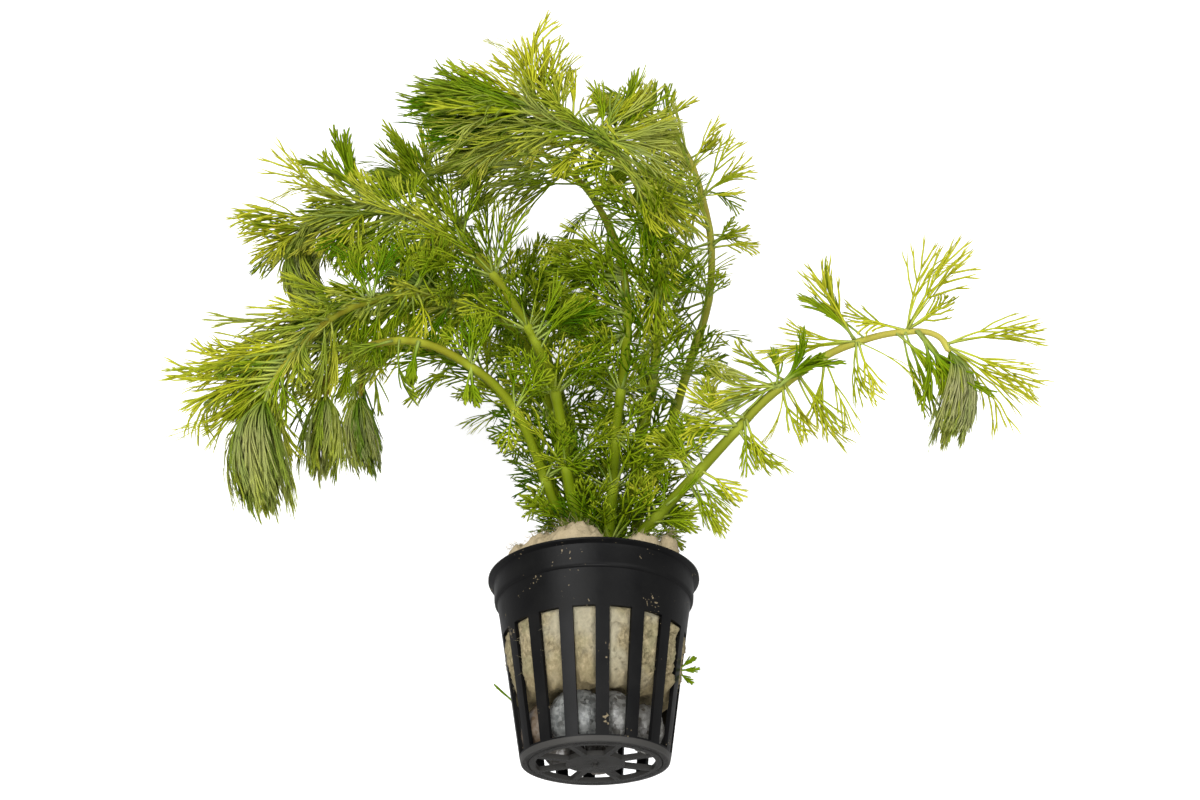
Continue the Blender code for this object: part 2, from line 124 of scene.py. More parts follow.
# Places in the camera's view that no leaf's outer half crosses: centre and half size, across
# and up in mm, where the line of sight from the camera meets the plane y = 0. The first four
# are openings through the plant, and the last one is clear air above the top left head
OPENINGS = (
    (-8.3, 172.0, 6.0, 9.0),
    (-43.0, 98.0, 3.5, 8.0),
    (-34.0, 85.0, 9.0, 6.5),
    (44.0, 134.0, 6.5, 9.0),
    (-46.0, 238.0, 4.5, 8.0),
)

# The CAD's whorls: the share along the stem where each one sits
WHORL_SHARES = {
    "left_low": (0.38, 0.62, 0.84),
    "left_mid": (0.30, 0.52, 0.70, 0.88),
    "left_back": (0.40, 0.66, 0.88),
    "left_high": (0.30, 0.54, 0.76, 0.94),
    "left_top": (0.45, 0.70, 0.92),
    "centre": (0.30, 0.56, 0.82),
    "top": (0.32, 0.54, 0.76, 0.93),
    "right_top": (0.32, 0.54, 0.76, 0.93),
    "right": (0.36, 0.64, 0.88),
}


# Small helpers


SPLINE_STEPS = 12
ROUTE_SAMPLES = 160


def unit(v):
    """Each row of v at length one."""
    v = np.asarray(v, float)
    return v / np.maximum(np.linalg.norm(v, axis=-1, keepdims=True), 1e-12)


def lerp(a, b, share):
    return a + (b - a) * share


def near(rng, middle, spread):
    """A random share from 0 to 1, round the middle."""
    return float(np.clip(middle + rng.normal(0, spread), 0, 1))


def smooth_route(points, samples):
    """Evenly spaced points on a smooth curve through the route's own points, in metres."""
    p = np.asarray(points, float) * MM
    p = np.vstack((2 * p[0] - p[1], p, 2 * p[-1] - p[-2]))
    t = np.linspace(0, 1, SPLINE_STEPS, endpoint=False)[:, None]
    fine = [
        0.5 * (2 * b + (c - a) * t + (2 * a - 5 * b + 4 * c - d) * t**2
               + (3 * b - a - 3 * c + d) * t**3)
        for a, b, c, d in zip(p, p[1:], p[2:], p[3:])
    ]
    fine = np.vstack((*fine, p[-2]))
    lengths = np.append(0, np.cumsum(np.linalg.norm(np.diff(fine, axis=0), axis=1)))
    even = np.linspace(0, lengths[-1], samples)
    return np.stack([np.interp(even, lengths, fine[:, i]) for i in range(3)], axis=1)


class Stem:
    """A stem's route, with its heading and a side direction that doesn't twist."""

    def __init__(self, name):
        self.name = name
        self.root, self.tip, route = STEMS[name]
        self.points = smooth_route(route, ROUTE_SAMPLES)
        steps = np.linalg.norm(np.diff(self.points, axis=0), axis=1)
        self.along = np.append(0, np.cumsum(steps))
        self.length = self.along[-1]
        self.headings = unit(np.gradient(self.points, axis=0))
        side = np.cross(self.headings[0], FRONT)
        sides = []
        for heading in self.headings:
            side = unit(side - heading * (side @ heading))
            sides.append(side)
        self.sides = np.array(sides)

    def at(self, distance):
        """The point, heading, side and radius this far along the stem."""
        place = [np.interp(distance, self.along, self.points[:, i]) for i in range(3)]
        i = int(np.clip(np.searchsorted(self.along, distance), 0, len(self.points) - 1))
        radius = lerp(self.root, self.tip, distance / self.length) * MM
        return np.array(place), self.headings[i], self.sides[i], radius


# Meshes


def add_object(name, data):
    """A new object in the scene, for this mesh, light or camera."""
    made = bpy.data.objects.new(name, data)
    bpy.context.scene.collection.objects.link(made)
    return made


def add_mesh(name, verts, triangles, material, attributes=()):
    """A smooth mesh object from arrays, with one float attribute for each name given."""
    mesh = bpy.data.meshes.new(name)
    verts = np.asarray(verts, np.float32)
    triangles = np.asarray(triangles, np.int32)
    mesh.vertices.add(len(verts))
    mesh.vertices.foreach_set("co", verts.ravel())
    mesh.loops.add(triangles.size)
    mesh.loops.foreach_set("vertex_index", triangles.ravel())
    mesh.polygons.add(len(triangles))
    mesh.polygons.foreach_set("loop_start", np.arange(0, triangles.size, 3, dtype=np.int32))
    mesh.update(calc_edges=True)
    mesh.shade_smooth()
    for label, values in dict(attributes).items():
        layer = mesh.attributes.new(label, "FLOAT", "POINT")
        layer.data.foreach_set("value", np.asarray(values, np.float32))
    mesh.materials.append(material)
    obj = add_object(name, mesh)
    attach(obj, "root")
    return obj


def tube_faces(rows, columns):
    """Triangles of a closed tube: its rings in order, then the middle point of each end."""
    faces = []
    for row in range(rows - 1):
        for j in range(columns):
            a, b = row * columns + j, row * columns + (j + 1) % columns
            faces += [(a, b, b + columns), (a, b + columns, a + columns)]
    first, last, top = rows * columns, rows * columns + 1, (rows - 1) * columns
    for j in range(columns):
        k = (j + 1) % columns
        faces += [(first, k, j), (last, top + j, top + k)]
    return faces


def strand_faces(rings):
    """The triangles of one three-sided strand: its base, its sides and its sharp tip."""
    faces = [(0, 2, 1)]
    for i in range(rings - 1):
        for a, b in ((0, 1), (1, 2), (2, 0)):
            low_a, low_b = 3 * i + a, 3 * i + b
            faces += [(low_a, low_b, low_b + 3), (low_a, low_b + 3, low_a + 3)]
    last = 3 * (rings - 1)
    apex = 3 * rings
    faces += [(last + a, last + b, apex) for a, b in ((0, 1), (1, 2), (2, 0))]
    return np.array(faces)


class Strands:
    """Thin tapered strands, gathered into one mesh of closed three-sided prisms."""

    def __init__(self):
        self.verts, self.faces, self.values, self.count = [], [], [], 0

    def add(self, lines, half_width, half_thick, normals, values):
        """Lines are (n, k, 3) and end at a tip, widths (n, k - 1), values (n, k, 3)."""
        n, k, _ = lines.shape
        forward = unit(np.gradient(lines, axis=1))
        normals = normals - forward * (normals * forward).sum(-1, keepdims=True)
        normals = unit(normals)
        sides = np.cross(normals, forward)[:, :-1] * half_width[..., None]
        ups = normals[:, :-1] * half_thick[..., None]
        base = lines[:, :-1]
        rings = np.stack((base - sides, base + sides, base + ups), axis=2)
        verts = np.concatenate((rings.reshape(n, -1, 3), lines[:, -1:]), axis=1)
        spread = np.concatenate((np.repeat(values[:, :-1], 3, axis=1), values[:, -1:]), axis=1)
        size = 3 * (k - 1) + 1
        starts = self.count + size * np.arange(n)
        self.faces.append((strand_faces(k - 1)[None] + starts[:, None, None]).reshape(-1, 3))
        self.verts.append(verts.reshape(-1, 3))
        self.values.append(spread.reshape(-1, 3))
        self.count += size * n

    def build(self, name, material):
        values = np.concatenate(self.values)
        named = {"tip": values[:, 0], "tone": values[:, 1], "wet": values[:, 2]}
        verts = np.concatenate(self.verts)
        return add_mesh(name, verts, np.concatenate(self.faces), material, named)


# Leaves. A plan is one leaf of length 1 laid flat: u runs along it, v across, w up


# Where the points of a lobe and of a tooth lie along it, and a tooth's width at the first two
LOBE_SHARES = (0, 0.36, 0.7, 1.0)
TOOTH_SHARES = (0, 0.6, 1.0)
TOOTH_TAPER = np.array((0.85, 0.72))
AXIS_POINTS = 9


class Plan:
    """The lines of one leaf: its stalk, its lobes and the teeth on them."""

    def __init__(self, rng, *, stalk, pairs, angles, reach, teeth, tooth_deg, tooth_reach,
                 rise, taper, blade=0.0):
        self.rng = rng
        self.tooth_deg, self.tooth_reach, self.rise = tooth_deg, tooth_reach, rise
        self.taper, self.blade = np.array(taper), blade
        self.lobes, self.teeth = [], []
        bend = rng.uniform(-0.13, 0.13)
        u = np.linspace(0, 1, AXIS_POINTS)
        self.axis = np.stack((u, bend * u**2, 0 * u), axis=1)
        for i in range(pairs):
            share = (i + 0.5) / pairs
            for side in (-1, 1):
                start = lerp(stalk, 0.93, share) + rng.uniform(-0.02, 0.02)
                angle = lerp(*angles, share) + rng.uniform(-8, 8)
                length = reach * (0.55 + 0.6 * math.sin(math.pi * (0.2 + 0.75 * share)))
                length *= rng.uniform(0.8, 1.15) * (1 - 0.35 * share)
                count = teeth if share < 0.75 else max(teeth - 1, 1)
                self.lobe((start, bend * start**2, 0), angle * side, length, count)

    def line(self, start, degrees, length, shares):
        """A line that curves towards the leaf's tip."""
        rise = self.rng.uniform(-self.rise, self.rise)
        t = np.array(shares)
        turn = np.radians(degrees * (1 - 0.6 * t))
        steps = np.diff(t, prepend=0) * length
        u = start[0] + np.cumsum(steps * np.cos(turn))
        v = start[1] + np.cumsum(steps * np.sin(turn))
        return np.stack((u, v, start[2] + rise * length * t), axis=1)

    def lobe(self, start, degrees, length, teeth):
        """One lobe, with teeth on alternate sides of it."""
        line = self.line(start, degrees, length, LOBE_SHARES)
        self.lobes.append(line)
        for j in range(teeth):
            share = lerp(LOBE_SHARES[1], 0.86, (j + 0.5) / teeth)
            at = [np.interp(share, LOBE_SHARES, column) for column in line.T]
            side = 1 if (j + (degrees > 0)) % 2 else -1
            turned = degrees * 0.8 + side * (self.tooth_deg + self.rng.uniform(-6, 6))
            reach = length * self.tooth_reach * (1.2 - 0.55 * share)
            self.teeth.append(self.line(at, turned, reach, TOOTH_SHARES))


def make_plans(seed, count, **shape):
    rng = np.random.default_rng(seed)
    return [Plan(rng, **shape) for _ in range(count)]


# Low leaves are fern-like, high ones long with narrow forks, and a fan's lobes run almost
# side by side. Sparse ones are few and thin, straps hang alone, a brush leaf's lobes cling
# together into a wet blade, and those of a hair leaf hang straight
PLANS = {
    "low": make_plans(
        11, 8, stalk=0.36, pairs=4, angles=(54, 30), reach=0.46, teeth=2, tooth_deg=38,
        tooth_reach=0.42, rise=0.30, taper=(0.85, 1.0, 0.9),
    ),
    "high": make_plans(
        12, 8, stalk=0.26, pairs=4, angles=(34, 14), reach=0.56, teeth=1, tooth_deg=22,
        tooth_reach=0.42, rise=0.2, taper=(0.85, 1.0, 0.85),
    ),
    "fan": make_plans(
        16, 9, stalk=0.20, pairs=4, angles=(26, 10), reach=0.58, teeth=1, tooth_deg=18,
        tooth_reach=0.46, rise=0.24, taper=(0.9, 1.05, 0.9),
    ),
    "sparse": make_plans(
        15, 6, stalk=0.34, pairs=3, angles=(30, 16), reach=0.62, teeth=1, tooth_deg=20,
        tooth_reach=0.50, rise=0.2, taper=(0.9, 1.0, 0.8),
    ),
    "strap": make_plans(
        17, 4, stalk=0.36, pairs=4, angles=(34, 18), reach=0.42, teeth=1, tooth_deg=26,
        tooth_reach=0.32, rise=0.15, taper=(0.8, 1.25, 1.1),
    ),
    "brush": make_plans(
        13, 6, stalk=0.20, pairs=5, angles=(24, 12), reach=0.42, teeth=1, tooth_deg=20,
        tooth_reach=0.5, rise=0.16, taper=(1.0, 1.2, 1.0), blade=0.012,
    ),
    "hair": make_plans(
        14, 6, stalk=0.06, pairs=6, angles=(14, 6), reach=0.62, teeth=1, tooth_deg=10,
        tooth_reach=0.5, rise=0.12, taper=(0.9, 1.0, 0.8),
    ),
}

# Half the width of a leaf's stalk and lobes, by its kind
LEAF_WIDTHS = {
    "low": 0.28 * MM, "high": 0.28 * MM, "fan": 0.28 * MM, "sparse": 0.30 * MM,
    "strap": 0.40 * MM, "brush": 0.32 * MM, "hair": 0.25 * MM,
}

# A leaf's bend grows with this power of the share along it
BEND_POWER = 1.4
SPINE_STEPS = 12


def in_opening(base, heading, pull, length):
    """Whether the outer half of a leaf would be seen across one of the openings."""
    t = np.array((0.5, 0.7, 0.9, 1.1))[:, None]
    bend = np.asarray(pull) * t**BEND_POWER / (BEND_POWER + 1)
    points = base + length * t * (unit(heading) + bend)
    eye = np.array(CAMERA_PLACE)
    sight = points / MM - eye
    seen = eye + sight * (-eye[1] / sight[:, 1:2])
    return any(
        (((seen[:, 0] - x) / half_x) ** 2 + ((seen[:, 2] - z) / half_z) ** 2 < 1).any()
        for x, z, half_x, half_z in OPENINGS
    )


class Foliage:
    """The leaves of one piece, gathered by plan and then bent and made together."""

    def __init__(self, seed):
        self.rng = np.random.default_rng(seed)
        self.rows = {}

    def leaf(self, kind, base, heading, up, length, *, spread, tone, half_width,
             wet=0.0, pull=(0, 0, 0)):
        """One leaf: where it starts, where it points, and how far it bends on its way."""
        plan = int(self.rng.integers(len(PLANS[kind])))
        if in_opening(base, heading, pull, length):
            return
        row = (*base, *heading, *up, *pull, length, spread, tone, wet, half_width)
        self.rows.setdefault((kind, plan), []).append(row)

    def add_to(self, strands):
        for (kind, number), rows in sorted(self.rows.items()):
            self.place(strands, PLANS[kind][number], np.array(rows, float))

    def place(self, strands, plan, rows):
        base, heading, up, pull = rows[:, 0:3], rows[:, 3:6], rows[:, 6:9], rows[:, 9:12]
        length, spread, tone, wet, half_width = rows[:, 12:].T
        along = np.linspace(0, 1, SPINE_STEPS + 1)
        forward = unit(heading[:, None] + pull[:, None] * (along**BEND_POWER)[None, :, None])
        steps = forward * (length / SPINE_STEPS)[:, None, None]
        spine = base[:, None] + np.cumsum(steps, axis=1) - steps
        normal = unit(up)
        normals = np.empty_like(spine)
        for i in range(SPINE_STEPS + 1):
            ahead = forward[:, i]
            normal = unit(normal - ahead * (normal * ahead).sum(1, keepdims=True))
            normals[:, i] = normal
        sides = np.cross(normals, forward)

        def bent(lines):
            """The plan's points carried onto every leaf's spine: (leaf, line, point, 3)."""
            u = np.clip(lines[..., 0], 0, 1) * SPINE_STEPS
            low = np.minimum(u.astype(int), SPINE_STEPS - 1)
            part = (u - low)[None, ..., None]

            def here(a):
                return a[:, low] * (1 - part) + a[:, low + 1] * part

            over = np.maximum(lines[..., 0] - 1, 0)[None, ..., None]
            size = length[:, None, None, None]
            across = lines[..., 1][None, ..., None] * spread[:, None, None, None]
            lift = lines[..., 2][None, ..., None] * np.sqrt(spread)[:, None, None, None]
            above = here(normals)
            point = here(spine) + size * (
                here(sides) * across + above * lift + here(forward) * over
            )
            return point, above

        axis, axis_normals = bent(plan.axis[None])
        axis, axis_normals = axis[:, 0], axis_normals[:, 0]
        t = np.linspace(0, 1, axis.shape[1])
        thick = half_width[:, None] * np.linspace(1.5, 0.7, len(t) - 1)
        blade = plan.blade * np.sin(math.pi * np.clip(t[:-1] * 1.1 - 0.12, 0, 1)) ** 1.5
        values = np.stack(np.broadcast_arrays(
            0.85 * t[None], tone[:, None], wet[:, None]), axis=-1)
        strands.add(axis, thick + length[:, None] * blade, thick * 0.9, axis_normals, values)

        for lines, taper in ((plan.lobes, plan.taper), (plan.teeth, TOOTH_TAPER)):
            lines = np.array(lines)
            points, normals_here = bent(lines)
            count, steps = lines.shape[:2]
            thin, shade, damp = (
                np.repeat(v, count)[:, None] for v in (half_width, tone, wet))
            width = thin * taper
            tip = np.broadcast_to(lines[None, ..., 0], points.shape[:3]).reshape(-1, steps)
            tip = tip * np.linspace(0.75, 1.05, steps)
            values = np.stack(np.broadcast_arrays(tip, shade, damp), axis=-1)
            strands.add(points.reshape(-1, steps, 3), width, width * 0.55,
                        normals_here.reshape(-1, steps, 3), values)


# Where a whorl's leaves are pulled, and the turn in radians from one whorl to the next
WHORL_PULL = np.array((0.0, 0.1, -0.4))
WHORL_TURN = 0.9


def whorl(leaves, spot, *, count, length, lean, kind, tone, turn, toward):
    """A ring of leaves round a stem. Lean is in degrees from the stem's heading."""
    place, heading, side, radius = spot
    rng = leaves.rng
    other = np.cross(heading, side)
    for i in range(count):
        angle = turn + math.tau * (i + rng.uniform(-0.25, 0.25)) / count
        out = math.cos(angle) * side + math.sin(angle) * other
        tilt = math.radians(lean + rng.uniform(-12, 12))
        start = heading * math.cos(tilt) + out * math.sin(tilt)
        start = unit(start + toward * rng.uniform(0.6, 1.3))
        up = heading * math.sin(tilt) - out * math.cos(tilt)
        twist = rng.normal(0, 0.55)
        up = up * math.cos(twist) + np.cross(start, up) * math.sin(twist)
        leaves.leaf(
            kind, place + out * radius * 0.7, start, up, length * rng.uniform(0.78, 1.12),
            pull=WHORL_PULL * rng.uniform(0.6, 1.4), spread=rng.uniform(0.75, 1.15),
            tone=near(rng, tone, 0.13), half_width=LEAF_WIDTHS[kind],
        )


# Materials


def srgb(r, g, b):
    """A colour given as 0 to 255 in sRGB, made linear."""
    straight = [c / 255 for c in (r, g, b)]
    return (*[c / 12.92 if c <= 0.04045 else ((c + 0.055) / 1.055) ** 2.4 for c in straight], 1.0)


def grey(value):
    """A linear grey, also for a ramp that gives a plain share."""
    return (value, value, value, 1.0)


class Look:
    """A material, with short ways to add nodes that each give back the node's output."""

    def __init__(self, name):
        self.material = bpy.data.materials.new(name)
        self.material.use_nodes = True
        self.nodes = self.material.node_tree.nodes
        self.links = self.material.node_tree.links
        self.shader = self.nodes["Principled BSDF"]

    def feed(self, socket, value):
        """Give an input socket another node's output, or a plain value."""
        if isinstance(value, bpy.types.NodeSocket):
            self.links.new(value, socket)
        else:
            socket.default_value = value

    def node(self, kind, output, **inputs):
        made = self.nodes.new(kind)
        for name, value in inputs.items():
            self.feed(made.inputs[name], value)
        return made.outputs[output]

    def attribute(self, name):
        made = self.nodes.new("ShaderNodeAttribute")
        made.attribute_name = name
        return made.outputs["Fac"]

    def place(self):
        return self.node("ShaderNodeTexCoord", "Object")

    def height(self):
        return self.node("ShaderNodeSeparateXYZ", "Z", Vector=self.place())

    def maths(self, operation, first, second, clamp=False):
        made = self.nodes.new("ShaderNodeMath")
        made.operation = operation
        made.use_clamp = clamp
        self.feed(made.inputs[0], first)
        self.feed(made.inputs[1], second)
        return made.outputs[0]

    def noise(self, scale, detail=3.0, rough=0.55, stretch=None):
        place = self.place()
        if stretch:
            place = self.node("ShaderNodeMapping", "Vector", Vector=place, Scale=stretch)
        return self.node(
            "ShaderNodeTexNoise", "Fac", Vector=place, Scale=scale, Detail=detail, Roughness=rough)

    def varied(self, value, cloud, amount, clamp=True):
        """A value that noise moves up and down."""
        swing = self.maths("MULTIPLY", self.maths("SUBTRACT", cloud, 0.5), amount)
        return self.maths("ADD", value, swing, clamp)

    def fade(self, value, start, end, most):
        """Nothing where the value is at the start, and the most where it is at the end."""
        return self.node("ShaderNodeMapRange", "Result", **{
            "Value": value, "From Min": start, "From Max": end, "To Max": most})

    def ramp(self, factor, *stops):
        made = self.nodes.new("ShaderNodeValToRGB")
        while len(made.color_ramp.elements) < len(stops):
            made.color_ramp.elements.new(0.5)
        for element, (place, colour) in zip(made.color_ramp.elements, stops):
            element.position = place
            element.color = colour
        self.links.new(factor, made.inputs["Fac"])
        return made.outputs["Color"]

    def mix(self, factor, first, second):
        """A mix of two colours. A mix node keeps its colours in sockets 6, 7 and 2."""
        made = self.nodes.new("ShaderNodeMix")
        made.data_type = "RGBA"
        made.clamp_factor = True
        for index, value in ((0, factor), (6, first), (7, second)):
            self.feed(made.inputs[index], value)
        return made.outputs[2]

    def bump(self, height, strength, distance):
        normal = self.node(
            "ShaderNodeBump", "Normal", Height=height, Strength=strength, Distance=distance)
        self.links.new(normal, self.shader.inputs["Normal"])

    def surface(self, colour, roughness, specular):
        for name, value in (
            ("Base Color", colour), ("Roughness", roughness), ("Specular IOR Level", specular),
        ):
            self.feed(self.shader.inputs[name], value)

    def with_shader(self, share, other):
        """The surface as a mix of the main shader and another one."""
        both = self.nodes.new("ShaderNodeMixShader")
        self.feed(both.inputs["Fac"], share)
        self.links.new(self.shader.outputs[0], both.inputs[1])
        self.links.new(other, both.inputs[2])
        self.links.new(both.outputs[0], self.nodes["Material Output"].inputs["Surface"])


def leaf_material(name, dark, middle, light, tips, stalk, wet_sheen):
    """A thin green leaf: darker or yellower by tone, pale at its stalk, and painted a pale grey
    where wet, a painted sheen of water.
    """
    look = Look(name)
    tone = look.varied(look.attribute("tone"), look.noise(90.0), 0.55)
    colour = look.ramp(tone, (0.0, dark), (0.5, middle), (1.0, light))
    along = look.attribute("tip")
    ripe = look.maths("ADD", look.maths("MULTIPLY", tone, 0.9), -0.06, clamp=True)
    tip = look.maths("MULTIPLY", look.maths("POWER", along, 2.4, clamp=True), ripe, clamp=True)
    colour = look.mix(tip, colour, tips)
    low = look.maths("SUBTRACT", 0.75, look.maths("MULTIPLY", along, 2.2), clamp=True)
    colour = look.mix(low, colour, stalk)
    # Painted highlight: a pale grey sheen of water is painted over wet leaves, less at their tips
    # and near their stalks
    sheen_kept = look.maths("SUBTRACT", 1.0, look.maths("MULTIPLY", tip, 0.8))
    below = look.maths("MULTIPLY", along, 1.8, clamp=True)
    wet = look.maths("MULTIPLY", look.maths("MULTIPLY", look.attribute("wet"), below), sheen_kept)
    colour = look.mix(wet, colour, wet_sheen)
    look.surface(colour, roughness=0.42, specular=0.06)
    look.with_shader(0.42, look.node("ShaderNodeBsdfTranslucent", 0, Color=colour))
    return look.material


def stem_material():
    """A fresh green stem that turns olive brown towards its tip, pale at its nodes."""
    look = Look("stem_green")
    age = look.varied(look.attribute("tone"), look.noise(140.0, detail=4.0), 0.5)
    colour = look.ramp(
        age, (0.0, srgb(84, 102, 4)), (0.45, srgb(98, 110, 8)), (0.8, srgb(112, 108, 20)),
        (1.0, srgb(108, 94, 18)))
    colour = look.mix(look.attribute("wet"), colour, srgb(142, 156, 44))
    colour = look.mix(look.attribute("tip"), colour, srgb(192, 184, 92))
    look.surface(colour, roughness=0.5, specular=0.04)
    return look.material


# The product of two noises that makes a speck of grit, and the height below which the pot is
# painted paler, a painted light for the light thrown up onto its base
GRIT_LEVEL = 0.425
PAINTED_UNDERLIGHT_HEIGHT = 1.3 * MM


def plastic_material():
    """Black moulded plastic, worn satin, with specks of dried grit and an underside painted paler,
    a painted light from below.
    """
    look = Look("black_plastic")
    cloud = look.noise(120.0, detail=5.0)
    colour = look.ramp(
        cloud, (0.3, srgb(7, 7, 8)), (0.6, srgb(13, 13, 13)), (0.85, srgb(22, 21, 20)))
    specks = look.noise(1500.0, detail=2.0, rough=0.4)
    specks = look.maths("MULTIPLY", specks, look.noise(140.0, detail=2.0))
    grit = look.maths("GREATER_THAN", specks, GRIT_LEVEL)
    colour = look.mix(grit, colour, srgb(112, 101, 80))
    # Painted light: below this height the base is painted paler, standing for light thrown up onto
    # it from below
    painted_underlight = look.maths("LESS_THAN", look.height(), PAINTED_UNDERLIGHT_HEIGHT)
    colour = look.mix(painted_underlight, colour, srgb(56, 55, 53))
    worn = look.ramp(cloud, (0.3, grey(0.34)), (0.8, grey(0.52)))
    look.surface(colour, roughness=worn, specular=0.10)
    look.bump(look.noise(900.0), 0.12, 0.2 * MM)
    return look.material


# The wool is stained below the first height and fully below the second, with a swing from noise,
# and paler above the third height and fully above the fourth
STAIN_TOP, STAIN_FULL = 24 * MM, 13 * MM
STAIN_SWING = 16 * MM
PALER_TOP_LOW, PALER_TOP_FULL = 48.5 * MM, 51.5 * MM


def wool_material():
    """Beige mineral wool: matted fibres, stained grey brown towards its base, with greyer patches
    that are partly a painted highlight, and paler towards the top.
    """
    look = Look("beige_wool")
    fibre = look.noise(1000.0, detail=6.0, rough=0.7, stretch=(1.0, 1.0, 0.7))
    cloud = look.noise(160.0, detail=4.0)
    colour = look.ramp(
        fibre, (0.32, srgb(98, 89, 66)), (0.5, srgb(136, 125, 96)), (0.70, srgb(178, 164, 132)))
    clouded = look.ramp(cloud, (0.45, grey(0.0)), (0.70, grey(0.75)))
    colour = look.mix(clouded, colour, srgb(122, 118, 88))
    # Greyer patches by noise, partly the wool's own grey and partly a painted highlight on its
    # fibres
    grey_patch_and_highlight = look.ramp(look.noise(65.0, detail=2.0), (0.50, grey(0.0)), (0.60, grey(0.7)))
    colour = look.mix(grey_patch_and_highlight, colour, srgb(150, 144, 124))
    uneven = look.varied(look.height(), cloud, STAIN_SWING, clamp=False)
    stain = look.fade(uneven, STAIN_TOP, STAIN_FULL, 0.75)
    colour = look.mix(stain, colour, srgb(112, 100, 72))
    paler_top = look.fade(look.height(), PALER_TOP_LOW, PALER_TOP_FULL, 0.7)
    colour = look.mix(paler_top, colour, srgb(190, 172, 140))
    look.surface(colour, roughness=0.92, specular=0.2)
    look.bump(fibre, 0.8, 0.8 * MM)
    return look.material


def granite_material():
    """Wet granite: grey crystals with dark specks, browner on some stones."""
    look = Look("grey_granite")
    grain = look.node("ShaderNodeTexVoronoi", "Color", Vector=look.place(), Scale=1100.0)
    patches = look.noise(260.0, detail=5.0, rough=0.65)
    colour = look.ramp(
        patches, (0.32, srgb(42, 43, 42)), (0.5, srgb(76, 78, 77)), (0.7, srgb(124, 126, 124)))
    pale = look.node("ShaderNodeSeparateColor", 0, Color=grain)
    colour = look.mix(look.maths("MULTIPLY", pale, 0.3), colour, srgb(172, 173, 168))
    dark = look.node("ShaderNodeSeparateColor", 1, Color=grain)
    dark = look.maths("GREATER_THAN", dark, 0.9)
    colour = look.mix(look.maths("MULTIPLY", dark, 0.6), colour, srgb(38, 38, 36))
    brown = look.maths("MULTIPLY", look.attribute("tone"), 0.7)
    colour = look.mix(brown, colour, srgb(92, 72, 50))
    look.surface(colour, roughness=0.2, specular=0.5)
    look.bump(patches, 0.5, 0.8 * MM)
    return look.material


# The last colour of each leaf material is its painted wet sheen
LEAF = leaf_material(
    "leaf_green", srgb(84, 128, 2), srgb(140, 166, 12), srgb(209, 212, 50),
    srgb(217, 215, 70), srgb(194, 206, 118), srgb(184, 190, 116),
)
YOUNG_LEAF = leaf_material(
    "young_leaf_green", srgb(84, 130, 4), srgb(140, 166, 22), srgb(198, 204, 62),
    srgb(182, 194, 52), srgb(114, 150, 8), srgb(194, 191, 142),
)
STEM = stem_material()
PLASTIC = plastic_material()
WOOL = wool_material()
GRANITE = granite_material()


# Stems


STEM_SIDES = 14
STEM_RINGS = 130
RIDGES = 8
RIDGE_DEPTH = 0.045
NODE_SWELL = 0.10
NODE_LENGTH = 1.8 * MM
NODE_PALE = 0.45
END_LENGTH = 1.2 * MM

# How bleached a stem is at its root and at its tip
UNBLEACHED = (0.0, 0.1)
BLEACHED = {"right_top": (0.1, 0.55), "right": (0.0, 0.6), "top": (0.0, 0.3)}


def make_stem(stem, places):
    """A ridged tube along the route, swollen and pale at each whorl."""
    angles = np.arange(STEM_SIDES) * math.tau / STEM_SIDES
    ridges = 1 + RIDGE_DEPTH * np.cos(angles * RIDGES)
    verts, tone, pale = [], [], []
    for distance in np.linspace(0, stem.length, STEM_RINGS):
        place, heading, side, radius = stem.at(distance)
        other = np.cross(heading, side)
        nearness = max(math.exp(-((distance - p) / NODE_LENGTH) ** 2) for p in places)
        radius *= 1 + NODE_SWELL * nearness
        closing = 0.25 + (stem.length - distance) / END_LENGTH
        radius *= min(1.0, math.sqrt(closing))
        verts.append(place + radius * ridges[:, None] * (
            np.cos(angles)[:, None] * side + np.sin(angles)[:, None] * other))
        tone += [distance / stem.length] * STEM_SIDES
        pale += [NODE_PALE * nearness] * STEM_SIDES
    verts = np.vstack((*verts, stem.points[0], stem.points[-1]))
    tone = np.array(tone + [0.0, 1.0])
    pale += [0.0, 0.0]
    bleach = lerp(*BLEACHED.get(stem.name, UNBLEACHED), tone ** 2)
    named = {"tone": tone, "wet": pale, "tip": bleach}
    faces = tube_faces(STEM_RINGS, STEM_SIDES)
    piece = add_mesh("stem_" + stem.name + "_look", verts, faces, STEM, named)
    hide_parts("stem_" + stem.name)


